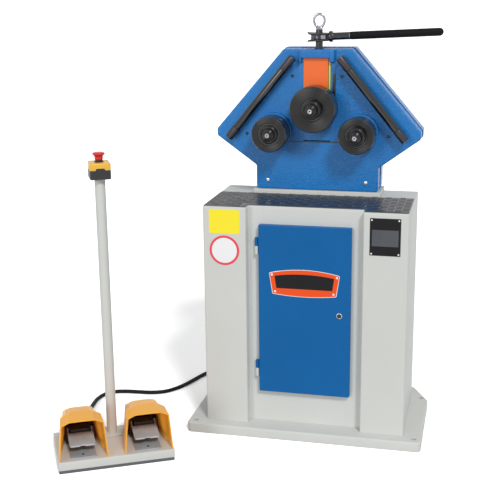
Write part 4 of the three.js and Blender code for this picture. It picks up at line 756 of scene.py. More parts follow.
def centripetal(points, per_span):
    """Catmull-Rom curve through the points, its knots spaced by the square root of each span."""
    p = np.asarray(points, float)
    p = np.concatenate([[2 * p[0] - p[1]], p, [2 * p[-1] - p[-2]]])
    gaps = np.sqrt(np.linalg.norm(np.diff(p, axis=0), axis=1))
    share = np.arange(per_span) / per_span
    spans = []
    for i in range(len(p) - 3):
        t = np.concatenate([[0], np.cumsum(gaps[i:i + 3])])
        s = (t[1] + share * (t[2] - t[1]))[:, None]
        a = [((t[k + 1] - s) * p[i + k] + (s - t[k]) * p[i + k + 1]) / (t[k + 1] - t[k]) for k in range(3)]
        b = [((t[k + 2] - s) * a[k] + (s - t[k]) * a[k + 1]) / (t[k + 2] - t[k]) for k in range(2)]
        spans.append(((t[2] - s) * b[0] + (s - t[1]) * b[1]) / (t[2] - t[1]))
    return np.concatenate(spans + [p[-2:-1]])


def make_cable():
    """Round tube along the smooth curve through the route's points."""
    path = centripetal(CABLE_ROUTE, CABLE_SPAN_STEPS)
    tube = sweep(path, CABLE_DIAMETER / 2, CABLE_STEPS)
    made = piece("cable", [tube], "frame", "cable_rubber", ["control_cable"])


# Head
def head_corners(low, grow=0.0):
    """The head's outline from the front, anticlockwise from its lower left corner, grown all round."""
    top = low + HEAD_HEIGHT + grow
    side, neck, crown = HEAD_HALF + grow, NECK_HALF + grow, HEAD_TOP_HALF + grow
    return [
        (-neck, low), (neck, low), (neck, low + NECK_HEIGHT), (side, low + SHOULDER_LOW),
        (side, low + SHOULDER_HIGH), (crown, top), (-crown, top), (-side, low + SHOULDER_HIGH),
        (-side, low + SHOULDER_LOW), (-neck, low + NECK_HEIGHT),
    ]


head_low, head_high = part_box("head_front_housing")
HEAD_HEIGHT = head_high.z - head_low.z
shaft_centres = {
    side: tuple((a + b) / 2 for a, b in zip(*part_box(f"{side}_shaft"))) for side in ("left", "right", "top")
}


def plain_hole(outline, low, high, edge=FINE_EDGE):
    """Through hole of an outline, with a small bevel at its rim in the top cap."""
    rows = [(-edge, high), (0, high - edge), (0, low)]
    return lambda inset: rounded(outline, SLOT_CORNER, inset), rows, True


def round_hole(centre, radius, low, high, edge=0.0008, through=True, steps=SMALL_STEPS):
    """Round hole, through or blind, with a small bevel at its rim in the top cap."""
    return (lambda inset: circle(centre, radius - inset, steps),
            [(-edge - SUPPORT, high), (-edge, high), (0, high - edge), (0, low)], through)


def make_head():
    """Front housing, open at the back, with its slot and bores, and the rear housing that closes it."""
    front, seam = -head_low.y, -head_high.y
    z0 = head_low.z
    wall_inner = front - FRONT_WALL
    corners = head_corners(z0)
    slot = rectangle(-SLOT_HALF, SLOT_HALF, z0 + SLOT_BOTTOM, z0 + SLOT_TOP)
    holes = [plain_hole(slot, wall_inner, front)]
    for side in ("left", "right"):
        x, _, z = shaft_centres[side]
        holes.append(round_hole((x, z), SHAFT_BORE, wall_inner, front))
    for x, z in TAPPED_PLACES:
        for sign in (-1, 1):
            holes.append(round_hole((sign * x, z0 + z), TAPPED_RADIUS, front - TAPPED_DEPTH, front,
                                    through=False, steps=SCREW_STEPS))
    rows = edge_rows(seam, front, HEAD_EDGE, FINE_EDGE)[:-1]
    rows += [(HOUSING_WALL, seam), (HOUSING_WALL, wall_inner)]
    shell = panel(lambda inset: rounded(corners, HEAD_CORNER, inset), rows, holes, "y")
    piece("head_front", [shell], "frame", "blue_paint_painted_lighter", ["head_front_housing"])

    rear_low, rear_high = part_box("head_rear_housing")
    front, back = -rear_low.y, -rear_high.y
    corners = head_corners(z0, REAR_GROW)
    corners = [(x, max(z, rear_low.z)) for x, z in corners]
    rows = [(HOUSING_WALL, back + REAR_WALL), (HOUSING_WALL, front), (FINE_EDGE, front),
            (0, front - FINE_EDGE)]
    rows += edge_rows(back, front, 0.0, REAR_EDGE)[1:]
    shell = panel(lambda inset: rounded(corners, HEAD_CORNER, inset), rows, (), "y")
    piece("head_rear", [shell], "frame", "blue_paint_painted_lighter", ["head_rear_housing"])


# Cabinet, base and mat
def cabinet_corners(low, high, margin=0.0):
    """The cabinet's plan: two front columns with a recess between them."""
    x0, x1 = low.x + margin, high.x - margin
    y0, y1 = low.y + margin, high.y - margin
    recess = high.x - COLUMN_WIDTH + margin
    deep = low.y + RECESS_DEPTH + margin
    return [(x0, y0), (-recess, y0), (-recess, deep), (recess, deep), (recess, y0), (x1, y0), (x1, y1),
            (x0, y1)]


def tread_boxes(low, high, recess):
    """Plan of each raised bar: square tiles of bars, those of the next tile turned a quarter turn."""
    gap = TREAD_TILE / TREAD_BARS
    half = gap * TREAD_HALF_SHARE
    across = int((high.x - low.x) / TREAD_TILE)
    down = int((high.y - low.y) / TREAD_TILE)
    x_start = (low.x + high.x - across * TREAD_TILE) / 2
    bars = []
    for column in range(across):
        for row in range(down):
            x = x_start + column * TREAD_TILE
            y = high.y - (row + 1) * TREAD_TILE
            in_front = y < low.y + RECESS_DEPTH + 2 * SOFT_EDGE
            if in_front and abs(x + TREAD_TILE / 2) < recess + TREAD_TILE / 2:
                continue
            for bar in range(TREAD_BARS):
                offset = (bar + 0.5) * gap
                if (column + row) % 2:
                    bars.append((x + offset - half, x + offset + half, y + half, y + TREAD_TILE - half))
                else:
                    bars.append((x + half, x + TREAD_TILE - half, y + offset - half, y + offset + half))
    return np.array(bars)


def make_mat():
    """Sheet with the cabinet's plan and, over it, bars that taper towards their tops."""
    low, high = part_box("top_mat")
    corners = cabinet_corners(low, high)
    recess = high.x + MAT_MARGIN - COLUMN_WIDTH + MAT_MARGIN
    corners = [(x if abs(x) > recess + HEAD_CORNER else math.copysign(recess, x), y) for x, y in corners]
    level = high.z - TREAD_RISE
    sheet = slab(corners, low.z, level, "z", MAT_CORNER, MAT_EDGE, SUPPORT)
    bars = tread_boxes(low, high, recess)
    foot = np.stack([bars[:, [0, 2]], bars[:, [1, 2]], bars[:, [1, 3]], bars[:, [0, 3]]], 1)
    crown = foot * (1 - TREAD_TAPER) + foot.mean(1, keepdims=True) * TREAD_TAPER
    foot = np.concatenate([foot, np.full((len(bars), 4, 1), level - MAT_EDGE / 2)], 2)
    crown = np.concatenate([crown, np.full((len(bars), 4, 1), high.z)], 2)
    points = np.concatenate([foot, crown], 1)
    number = np.arange(len(bars))[:, None, None] * 8
    faces = np.array([[0, 1, 5, 4], [1, 2, 6, 5], [2, 3, 7, 6], [3, 0, 4, 7], [4, 5, 6, 7], [3, 2, 1, 0]])
    quads = (number + faces[None]).reshape(-1, 4)
    treads = (points.reshape(-1, 3), quads, np.zeros((0, 3), int), None, None)
    piece("mat", [sheet, treads], "frame", "mat_rubber", ["top_mat"])


# Base, cabinet and door
BASE_REAR_CUT = (0.057, 0.116)
ANCHOR_INSET = (0.025, 0.030, 0.102)
ANCHOR_RADIUS = 0.009
PLINTH_HEIGHT = 0.016
PLINTH_MARGIN = 0.010
PLINTH_EDGE = 0.002
PLINTH_CORNER = 0.003
TOP_EDGE = 0.0025
TRAY_SKIRT = 0.012
DOORWAY_LAP = 0.015
KNUCKLE_RADIUS = 0.006
HINGE_PIN_RADIUS = 0.003
HINGE_LEAF = 0.004
HINGE_REACH = 0.012
HINGE_HALF = 0.029
HINGE_RISES = (0.168, 0.599)
PIN_TOP_GAP = 0.002
COVER_SCREWS = ((-1, -1), (-1, 0), (-1, 1), (0, -1), (0, 1), (1, -1), (1, 0), (1, 1))
COVER_SCREW_INSET = 0.008
COVER_SCREW = (0.0045, 0.0025)
COVER_CORNER = 0.004
COVER_EDGE = 0.0008


def make_base():
    """Plate with its rear corners cut and four anchor holes."""
    low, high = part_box("base_plate")
    cut_x, cut_y = BASE_REAR_CUT
    corners = [(low.x, low.y), (high.x, low.y), (high.x, high.y - cut_y), (high.x - cut_x, high.y),
               (low.x + cut_x, high.y), (low.x, high.y - cut_y)]
    inset_x, inset_front, inset_rear = ANCHOR_INSET
    holes = [round_hole((sign * (high.x - inset_x), y), ANCHOR_RADIUS, low.z, high.z)
             for sign in (-1, 1) for y in (low.y + inset_front, high.y - inset_rear)]
    plate = slab(corners, low.z, high.z, "z", BASE_CORNER, BASE_EDGE, SOFT_EDGE, holes)
    piece("base", [plate], "frame", "grey_paint", ["base_plate"])


# Screw heads: the recess's depth and radius and the rim's round, as shares of the head
SOCKET_FLOOR_SHARE = 0.45
SOCKET_SHARE = 0.45
RIM_SHARE = 0.6


def screw_head(place, axis, radius, height, socket=SOCKET_SHARE):
    """Round screw head with a rounded rim and a recess, standing on its place along the axis."""
    floor = height * SOCKET_FLOOR_SHARE
    profile = soft_profile([(0, floor), (radius * socket, floor), (radius * socket, height),
                            (radius, height, height * RIM_SHARE), (radius, 0), (0, 0)])
    return lathe(profile, place, axis, SCREW_STEPS)


def hinge_half(x, y, low, high, pin_top):
    """Lower knuckle of a lift-off hinge, and the pin that stands up out of it."""
    knuckle = rod(KNUCKLE_RADIUS, low, high)
    pin = [(0, low), (HINGE_PIN_RADIUS, low), (HINGE_PIN_RADIUS, pin_top), (0, pin_top)]
    return [lathe(knuckle, (x, y, 0), (0, 0, 1), PIN_STEPS),
            lathe(pin, (x, y, 0), (0, 0, 1), HINGE_PIN_STEPS)]


def make_cabinet():
    """Lid, one bent wall with the doorway left open, plates over and under the doorway, plinth, hinges."""
    low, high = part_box("cabinet_shell")
    top = high.z - PLINTH_HEIGHT
    skirt = top - TRAY_SKIRT
    corners = cabinet_corners(low, high)
    rows = edge_rows(skirt, top, TOP_EDGE)[:-1] + [(0, skirt), (SHEET, skirt), (SHEET, top - SHEET)]
    lid = panel(lambda inset: rounded(corners, CABINET_CORNER, inset), rows, (), "z")
    door_low, door_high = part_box("door_panel")
    doorway = door_high.x - DOORWAY_LAP
    inner = cabinet_corners(low, high, SHEET)
    recess_y = corners[2][1]
    outer_path = [(doorway, recess_y), *corners[3:], *corners[:3], (-doorway, recess_y)]
    inner_path = [(doorway, recess_y + SHEET), *inner[3:], *inner[:3], (-doorway, recess_y + SHEET)]
    strip = outer_path + inner_path[::-1]
    outer_radii = [LEAST_RADIUS, *[CABINET_CORNER] * 8, LEAST_RADIUS]
    inner_radii = [LEAST_RADIUS, *[CABINET_CORNER / 2] * 8, LEAST_RADIUS]
    radii = outer_radii + inner_radii
    wall = panel(lambda inset: rounded(strip, radii, inset), [(0, skirt), (0, low.z)], (), "z")
    ways = (door_low.z + DOORWAY_LAP, door_high.z - DOORWAY_LAP)
    fills = []
    for z0, z1 in ((low.z, ways[0]), (ways[1], skirt)):
        fills.append(panel(lambda inset, z0=z0, z1=z1: np.array(rectangle(-doorway, doorway, z0, z1)),
                           [(0, -recess_y), (0, -recess_y - SHEET)], (), "y"))
    plinth = block((-NECK_HALF - PLINTH_MARGIN, head_low.y - PLINTH_MARGIN, top - SHEET / 2),
                   (NECK_HALF + PLINTH_MARGIN, high.y, high.z), PLINTH_EDGE, PLINTH_CORNER)
    shapes = [lid, wall, *fills, plinth]
    hinge_x, hinge_y = door_low.x + KNUCKLE_RADIUS, recess_y - GAP - HINGE_REACH
    leaf_x = hinge_x - KNUCKLE_RADIUS
    for rise in HINGE_RISES:
        z0 = low.z + rise
        shapes += hinge_half(hinge_x, hinge_y, z0, z0 + HINGE_HALF, z0 + 2 * HINGE_HALF - PIN_TOP_GAP)
        shapes.append(block((leaf_x, hinge_y, z0),
                            (leaf_x + HINGE_LEAF, recess_y + SHEET / 2, z0 + HINGE_HALF), FINE_EDGE))
    piece("cabinet", shapes, "frame", "grey_paint", ["cabinet_shell"])

    low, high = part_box("rear_panel")
    cover = slab(rectangle(low.x, high.x, low.z, high.z), -high.y, -low.y, "y", COVER_CORNER,
                 LEAST_RADIUS, COVER_EDGE)
    piece("rear_cover", [cover], "frame", "grey_paint", ["rear_panel"])
    middle = ((low.x + high.x) / 2, (low.z + high.z) / 2)
    reach = ((high.x - low.x) / 2 - COVER_SCREW_INSET, (high.z - low.z) / 2 - COVER_SCREW_INSET)
    heads = [screw_head((middle[0] + a * reach[0], high.y, middle[1] + b * reach[1]), (0, 1, 0),
                        *COVER_SCREW) for a, b in COVER_SCREWS]
    piece("rear_cover_screws", heads, "frame", "bright_steel")


DOOR_WIDTH = 0.309
DOOR_SHEET = 0.0025
DOOR_EDGE = 0.0025
DOOR_CORNER = 0.003
RIB_PLACES = (-0.0515, 0.0515)
RIB_HALF = 0.003
RIB_DEPTH = 0.014
RIB_MARGIN = 0.004
RIB_SINK = 0.0005
SOCKET_BORE = 0.0033
SOCKET_ROOF = 0.0015
LEAF_START = 0.0038
LOCK_PLACE = (0.1185, 0.4383)
LOCK_RADIUS = 0.010
LOCK_BORE = 0.0078
BARREL_RADIUS = 0.0075
BARREL_FRONT = ((0, 0.0018), (LOCK_BORE, 0.0018), (LOCK_BORE, 0.003), (BARREL_RADIUS, 0.003))
LOCK_RIM = ((LOCK_BORE, 0.0004), (0.0086, 0.0, 0.0004), (LOCK_RADIUS, 0.0014, 0.0008),
            (LOCK_RADIUS, 0.0029), (LOCK_BORE, 0.0029))
KEY_HALF = (0.0052, 0.0012)
KEY_DEPTHS = (0.0006, 0.003)
CAM_HALF = 0.007
CAM_REACH = 0.032
CAM_THICKNESS = 0.004
CAM_CORNER = 0.005


def make_door():
    """Folded pan with two stiffening ribs and its hinge halves, and the lock with its rim and cam."""
    low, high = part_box("door_panel")
    left = high.x - DOOR_WIDTH
    outline = rectangle(left, high.x, low.z, high.z)
    front, back = -low.y, -high.y
    hole = round_hole(LOCK_PLACE, LOCK_BORE, front - DOOR_SHEET, front)
    rows = edge_rows(back, front, DOOR_EDGE)[:-1]
    rows += [(0, back), (DOOR_SHEET, back), (DOOR_SHEET, front - DOOR_SHEET)]
    pan = panel(lambda inset: rounded(outline, DOOR_CORNER, inset), rows, [hole], "y")
    shapes = [pan]
    for x in RIB_PLACES:
        shapes.append(block((x - RIB_HALF, low.y + DOOR_SHEET - RIB_SINK, low.z + RIB_MARGIN),
                            (x + RIB_HALF, low.y + RIB_DEPTH, high.z - RIB_MARGIN), FINE_EDGE))
    hinge_x, hinge_y = low.x + KNUCKLE_RADIUS, high.y - HINGE_REACH
    cabinet_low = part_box("cabinet_shell")[0].z
    for rise in HINGE_RISES:
        z0 = cabinet_low + rise + HINGE_HALF + GAP
        z1 = cabinet_low + rise + 2 * HINGE_HALF
        ring = soft_profile([(SOCKET_BORE, z0), (KNUCKLE_RADIUS, z0, FINE_EDGE),
                             (KNUCKLE_RADIUS, z1, FINE_EDGE), (0, z1)])
        ring = np.concatenate([[(0, z1 - SOCKET_ROOF), (SOCKET_BORE, z1 - SOCKET_ROOF)], ring])
        shapes.append(lathe(ring, (hinge_x, hinge_y, 0), (0, 0, 1), PIN_STEPS))
        shapes.append(block((hinge_x + LEAF_START, hinge_y - HINGE_LEAF / 2, z0),
                            (left + DOOR_SHEET / 2, hinge_y + HINGE_LEAF / 2, z1), FINE_EDGE))
    piece("door", shapes, "door", "blue_paint", ["door_panel"])

    low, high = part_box("door_lock")
    x, z = LOCK_PLACE
    inner = high.y - CAM_THICKNESS
    barrel = soft_profile([*placed(BARREL_FRONT, low.y), (BARREL_RADIUS, inner), (0, inner)])
    key_x, key_z = KEY_HALF
    key = block((x - key_x, low.y + KEY_DEPTHS[0], z - key_z), (x + key_x, low.y + KEY_DEPTHS[1], z + key_z),
                THIN_EDGE)
    cam = slab(rectangle(x - CAM_HALF, x + CAM_HALF, z - CAM_HALF, z + CAM_REACH), -high.y,
               -high.y + CAM_THICKNESS, "y", CAM_CORNER, FINE_EDGE)
    piece("lock", [lathe(barrel, (x, 0, z), (0, 1, 0), NARROW_STEPS), key, cam], "lock",
          "plain_black", ["door_lock"])
    rim = soft_profile(placed(LOCK_RIM, low.y))
    piece("lock_rim", [lathe(rim, (x, 0, z), (0, 1, 0), NARROW_STEPS, ring=True)], "lock",
          "bright_steel")


# Bridge, carriage and what is fixed to them
CHEEK_LEFT = -0.0525
CHEEK_RIGHT = 0.0420
CHEEK_LEFT_EDGE = 0.0030
CHEEK_RIGHT_EDGE = 0.0042
WEB_LAP = 0.003
WEB_EDGE = 0.002
BRIDGE_SHELF = 0.014
BRIDGE_STEP = 0.0020
LUG_START = 0.0463
LUG_DEPTH = 0.0039
LUG_EDGE = 0.0005
MARKING_EDGE = 0.0380
PLATE_EDGE = 0.0003
STRIP_SPAN = (0.0396, 0.0456)
RULE_PROUD = 0.0008
RULE_MARGINS = (0.001, 0.012)
RACK_SPAN = (0.0535, 0.0630)
RACK_RISE = (1.130, 1.210)
RACK_PITCH = 0.005
RACK_PROUD = 0.0016
TICK_START_SHARE = 0.8
TICK_WIDTH = 0.0018
TICK_LAP = 0.001
TICK_DEPTHS = (0.0024, 0.0012)
COVER_SPAN = (0.0464, 0.0628)
COVER_PROUD = 0.0009
SEAM_HALF = 0.100
SEAM_HEIGHT = 0.0042
SEAM_DEPTHS = (0.0005, 0.001)


def make_bridge():
    """Bridge over the slot, the carriage's plate with its rule, and the strips beside the slot."""
    low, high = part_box("screw_bridge")
    half = high.x
    split = high.y - LUG_DEPTH
    web = block((CHEEK_LEFT - WEB_LAP, low.y + BRIDGE_STEP, low.z + BRIDGE_SHELF),
                (CHEEK_RIGHT + WEB_LAP, split, high.z - SOFT_EDGE), WEB_EDGE)
    left = block((-half, low.y, low.z), (CHEEK_LEFT, split, high.z), CHEEK_LEFT_EDGE)
    right = block((CHEEK_RIGHT, low.y, low.z), (half, split, high.z), CHEEK_RIGHT_EDGE)
    lugs = [block((x0, split - LUG_EDGE, low.z), (x1, high.y, high.z), LUG_EDGE)
            for x0, x1 in ((-half, -LUG_START), (LUG_START, half))]
    piece("bridge", [web, left, right, *lugs], "frame", "blue_paint_painted_lighter",
          ["screw_bridge"])
    slot_low, slot_high = head_low.z + SLOT_BOTTOM, low.z - GAP

    low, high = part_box("carriage_plate")
    middle = (low.y + high.y) / 2 - GAP
    plate = slab(rectangle(low.x, MARKING_EDGE, low.z, high.z), -middle, -low.y, "y", SOFT_EDGE,
                 PLATE_EDGE)
    piece("marking_plate", [plate], "slide_carriage", "orange_plate",
          ["carriage_plate"])
    backing = slab(rectangle(low.x, high.x, low.z, high.z), -high.y, -middle, "y", SOFT_EDGE, PLATE_EDGE)
    piece("plate_backing", [backing], "slide_carriage", "blue_paint_painted_lighter")
    rule = block((STRIP_SPAN[0], middle - RULE_PROUD, low.z + RULE_MARGINS[0]),
                 (STRIP_SPAN[1], middle, high.z - RULE_MARGINS[1]), LEAST_RADIUS)
    piece("depth_rule", [rule], "slide_carriage", "rule_yellow")

    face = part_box("gib_right")[0].y
    near = face - COVER_PROUD
    covers = [block((x0, near, slot_low), (x1, face - GAP, slot_high), FILM_EDGE)
              for x0, x1 in (COVER_SPAN, (-COVER_SPAN[1], -COVER_SPAN[0]))]
    piece("slot_covers", covers, "frame", "blue_paint_painted_lighter")
    rack_start, rack_end = RACK_SPAN
    rack_low, rack_high = RACK_RISE
    tick_front, tick_back = TICK_DEPTHS
    strip = [block((rack_start, near - RACK_PROUD, rack_low), (rack_end, near, rack_high), THIN_EDGE)]
    for step in range(int((rack_high - rack_low) / RACK_PITCH) - 1):
        z = rack_low + (step + TICK_START_SHARE) * RACK_PITCH
        strip.append(block((rack_start - TICK_LAP, near - tick_front, z),
                           (rack_end, near - tick_back, z + TICK_WIDTH), LEAST_RADIUS))
    piece("depth_strip", strip, "frame", "plain_black")
    seam = block((-SEAM_HALF, face - SEAM_DEPTHS[0], slot_low - SEAM_HEIGHT),
                 (SEAM_HALF, face + SEAM_DEPTHS[1], slot_low), FILM_EDGE)
    piece("face_seam", [seam], "frame", "plain_black")


# Screws and thread inserts in the head's face: profiles of (radius, depth), heads of (radius, height, socket)
HEAD_SCREW = (0.0066, 0.0045, 0.5)
HEAD_SCREW_SINK = 0.0004
INSERT = ((0.0052, -0.0003), (0.0052, 0.009), (0.0036, 0.009), (0.0036, 0.0035))
# Black disc deep in each insert: painted shade that darkens the bottom of the tapped hole
INSERT_SHADE_DISC = ((0, 0.006), (0.0034, 0.006), (0.0034, 0.0085), (0, 0.0085))


def make_head_screws():
    """Two screws below the slot, and an insert in each tapped hole, with a black disc deep inside it as
    painted shade for the hole's dark bottom.
    """
    x, rise = HEAD_SCREW_PLACE
    heads = [screw_head((sign * x, head_low.y + HEAD_SCREW_SINK, head_low.z + rise), (0, -1, 0), *HEAD_SCREW)
             for sign in (-1, 1)]
    piece("head_screws", heads, "frame", "bright_steel")
    places = [(sign * x, head_low.y, head_low.z + z) for sign in (-1, 1) for x, z in TAPPED_PLACES]
    rims = [lathe(INSERT, place, (0, 1, 0), SCREW_STEPS, ring=True) for place in places]
    # Black discs deep in the holes stand for their shade: painted shade
    shade_discs = [lathe(INSERT_SHADE_DISC, place, (0, 1, 0), SCREW_STEPS) for place in places]
    piece("thread_inserts", rims, "frame", "bright_steel")
    piece("thread_bottoms_painted_shade", shade_discs, "frame", "plain_black")


# Rolls, each with (body, roll, nut, shaft). Profiles are rows of (radius, place, round)
HUB_RADIUS = 0.037
HUB_BEVEL = 0.0015
SHAFT_RADIUS = 0.025
SHAFT_STEPS = 72
GROOVE_LEAN = 0.0002
GROOVE_RIM = 0.0007
RIM_ROUND = 0.0012
FACE_MARGINS = (0.0025, 0.0008)
NUT_BORE = 0.0203
NUT_BEVEL = 0.0042
NUT_FACE = ((NUT_BORE, 0.0015), (0.0222, 0.0015, 0.0003), (0.0235, 0.0, 0.0005), (0.0268, 0.0, 0.0005))
SHAFT_END_RADIUS = 0.0200
SHAFT_END = ((0, 0.0006), (0.0099, 0.0006), (0.0104, 0.0002), (0.0135, 0.0036, 0.0008),
             (0.0135, 0.0058, 0.0004), (SHAFT_END_RADIUS, 0.0094, 0.0008))
SHAFT_FACE = ((0, 0.0040), (0.0011, 0.0034), (0.0026, 0.0004, 0.0003), (0.0070, 0.0, 0.0005),
              (0.0075, 0.0006))
SHAFT_FACE_BACK = ((0.0075, 0.0050), (0, 0.0050))
CAP_EDGE = 0.003
CAP_SCREW_CIRCLE = 0.052
CAP_SCREW = (0.0048, 0.0028, 0.5)
ROLLS = {
    "top": ("top_roll_set", "top_roll", "top_roll_nut", "top_shaft"),
    "left": ("left_roll_set", "left_roll", "left_roll_nut", "left_shaft"),
    "right": ("right_roll_set", "right_roll", "right_roll_nut", "right_shaft"),
}


def groove(outer, start):
    """Corners of a groove in a rim, its walls leaning a little outwards."""
    valley = outer - GROOVE_DEPTH
    end = start + GROOVE_WIDTH
    return [(outer, start, GROOVE_RIM), (valley, start + GROOVE_LEAN, THIN_EDGE),
            (valley, end - GROOVE_LEAN, THIN_EDGE), (outer, end, GROOVE_RIM)]


def make_roll(side, body, roll, nut, shaft):
    """Roll of three discs on one hub, with its ground face, its nut, its shaft and the shaft's bright end."""
    low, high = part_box(roll)
    x, _, z = shaft_centres[side]
    centre = (x, 0, z)
    outer = (high.z - low.z) / 2
    front, back = low.y, high.y
    face = front + FACE_STEP
    bore = SHAFT_RADIUS + GAP
    profile = soft_profile([
        (bore, face), (HUB_RADIUS, face, THIN_EDGE), (HUB_RADIUS + HUB_BEVEL, front, 0.0005),
        (outer - ROLL_EDGE, front, FINE_EDGE), (outer, front + ROLL_EDGE, RIM_ROUND),
        *groove(outer, front + FRONT_DISC), *groove(outer, back - REAR_DISC - GROOVE_WIDTH),
        (outer, back - ROLL_EDGE, RIM_ROUND), (outer - ROLL_EDGE, back, FINE_EDGE), (bore, back)])
    made = lathe(profile, centre, (0, 1, 0), WIDE_STEPS, ring=True)
    piece(f"{side}_bending_roll", [made], body, "bar_black", [roll])
    hub = HUB_RADIUS + FACE_MARGINS[0]
    rim = outer - ROLL_EDGE - FACE_MARGINS[1]
    film = front - FILM_EDGE
    sunk = front + LEAST_RADIUS
    profile = soft_profile([(hub, sunk), (hub, film, FILM_EDGE), (rim, film, FILM_EDGE), (rim, sunk)])
    piece(f"{side}_roll_face", [lathe(profile, centre, (0, 1, 0), WIDE_STEPS, ring=True)], body,
          "black_steel")

    low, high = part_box(nut)
    outer = (high.z - low.z) / 2
    end = high.y
    profile = soft_profile([*placed(NUT_FACE, low.y), (outer, low.y + NUT_BEVEL, RIM_ROUND),
                            (outer, end - FINE_EDGE, THIN_EDGE), (outer - FINE_EDGE, end), (NUT_BORE, end)])
    piece(f"{side}_nut", [lathe(profile, centre, (0, 1, 0), ROUND_STEPS, ring=True)], body,
          "black_steel", [nut])

    low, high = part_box(shaft)
    profile = soft_profile([*placed(SHAFT_END, low.y), (SHAFT_END_RADIUS, face), (SHAFT_RADIUS, face),
                            (SHAFT_RADIUS, high.y), (0, high.y)])
    piece(f"{side}_roll_shaft", [lathe(profile, centre, (0, 1, 0), SHAFT_STEPS)], body,
          "black_steel", [shaft])
    profile = [*soft_profile(placed(SHAFT_FACE, low.y)), *placed(SHAFT_FACE_BACK, low.y)]
    piece(f"{side}_shaft_face", [lathe(profile, centre, (0, 1, 0), MIDDLE_STEPS)], body,
          "eye_steel")


def make_caps():
    """Bearing cap round each lower shaft, a ring with a rounded rim and four screws."""
    for side in ("left", "right"):
        low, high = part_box(f"bearing_cap_{side}")
        x, _, z = shaft_centres[side]
        outer = (high.z - low.z) / 2
        seat = high.y - SUPPORT
        profile = soft_profile([(SHAFT_BORE, low.y), (outer, low.y, CAP_EDGE), (outer, seat),
                                (SHAFT_BORE, seat)])
        ring = lathe(profile, (x, 0, z), (0, 1, 0), ROUND_STEPS, ring=True)
        piece(f"{side}_bearing_cap", [ring], "frame", "blue_paint_painted_lighter",
              [f"bearing_cap_{side}"])
        screws = []
        for step in range(4):
            angle = math.pi / 4 + step * math.pi / 2
            place = (x + CAP_SCREW_CIRCLE * math.cos(angle), low.y, z + CAP_SCREW_CIRCLE * math.sin(angle))
            screws.append(screw_head(place, (0, -1, 0), *CAP_SCREW))
        piece(f"{side}_cap_screws", screws, "frame", "plain_black")


# Guide bars: their ends as (distance from the middle, height), and profiles of (radius, place, round)
GUIDE_TOP = (0.078, 0.454)
GUIDE_END = (0.302, 0.181)
GUIDE_RADIUS = 0.0135
GUIDE_STANDOFF = 0.030
GUIDE_GROOVE_SHARES = (0.15, 0.87)
GUIDE_POST_SHARES = (0.1, 0.9)
GUIDE_CENTRE_HOLE = ((0, 0.003), (0.002, 0.003), (0.0035, 0.0, 0.0003))
GUIDE_GROOVE = ((GUIDE_RADIUS, -0.0014, 0.0004), (GUIDE_RADIUS - 0.0013, -0.0008, 0.0002),
                (GUIDE_RADIUS - 0.0013, 0.0008, 0.0002), (GUIDE_RADIUS, 0.0014, 0.0004))
GUIDE_POST = ((0, 0.001), (0.0085, 0.001), (0.0085, 0.022, 0.001), (0.010, 0.0225, 0.001),
              (0.010, GUIDE_STANDOFF - GAP), (0, GUIDE_STANDOFF - GAP))
SLEEVE_END = 0.004
SLEEVE_GAP = 0.0016
SLEEVE_PROUD = 0.0006
SLEEVE_EDGE = 0.0003


def make_guide_bars():
    """Two slanted bars with two grooves, the ground ends past the grooves, and the posts that hold them."""
    y = head_low.y - GUIDE_STANDOFF
    for side, sign in (("left", -1), ("right", 1)):
        start = np.array((sign * GUIDE_TOP[0], y, head_low.z + GUIDE_TOP[1]))
        end = np.array((sign * GUIDE_END[0], y, head_low.z + GUIDE_END[1]))
        length = float(np.linalg.norm(end - start))
        near, far = (share * length for share in GUIDE_GROOVE_SHARES)
        corners = [*GUIDE_CENTRE_HOLE, (GUIDE_RADIUS, 0.0, RIM_ROUND), *placed(GUIDE_GROOVE, near),
                   *placed(GUIDE_GROOVE, far), (GUIDE_RADIUS, length, RIM_ROUND)]
        corners += [(radius, length - place, *rest) for radius, place, *rest in GUIDE_CENTRE_HOLE[::-1]]
        shapes = [lathe(soft_profile(corners), start, end - start, MIDDLE_STEPS)]
        for share in GUIDE_POST_SHARES:
            spot = start + (end - start) * share
            shapes.append(lathe(soft_profile(GUIDE_POST), spot, (0, 1, 0), SMALL_STEPS))
        piece(f"{side}_guide_bar", shapes, "frame", "bar_black",
              [f"guide_bar_{side}"])
        sleeves = []
        inner = GUIDE_RADIUS - GAP
        outer = GUIDE_RADIUS + SLEEVE_PROUD
        for first, last in ((SLEEVE_END, near - SLEEVE_GAP), (far + SLEEVE_GAP, length - SLEEVE_END)):
            ring = soft_profile([(inner, first), (outer, first, SLEEVE_EDGE), (outer, last, SLEEVE_EDGE),
                                 (inner, last)])
            sleeves.append(lathe(ring, start, end - start, MIDDLE_STEPS, ring=True))
        piece(f"{side}_bar_ends", sleeves, "frame", "bar_end_steel")


# Feed screw, ratchet, lever and lifting eye. Profiles are rows of (radius, place, round)
SCREW_RADIUS = 0.0125
SCREW_FOOT = ((0, 0.0), (0.019, 0.0, 0.001), (0.019, 0.008, 0.001), (SCREW_RADIUS, 0.008))
SCREW_NECK_RADIUS = 0.0118
WIPER = ((0.0127, 0.0004), (0.0160, 0.0004), (0.0160, 0.0022, 0.0006), (0.0127, 0.0022))
WHEEL_TEETH = 18
WHEEL_ROOT = 0.0245
WHEEL_TIP = 0.0285
WHEEL_BORE = 0.0128
RATCHET_PLATE = 0.005
RATCHET_RADIUS = 0.040
RATCHET_STEPS = 72
RATCHET_BORE = 0.0130
RATCHET_EDGE = 0.0012
FLARE_START = -0.030
FLARE_SLOPE = 0.45
WEB_START = 0.0295
WEB_END = 0.0342
WEB_HALF = 0.016
WEB_MARGIN = 0.001
PAWL_HOUSING_HALF = 0.006
PAWL_HOUSING_DEPTHS = (0.0370, 0.0288)
PAWL_HOUSING_MARGIN = 0.002
PAWL_HOUSING_EDGE = 0.0008
PAWL_DEPTH = 0.030
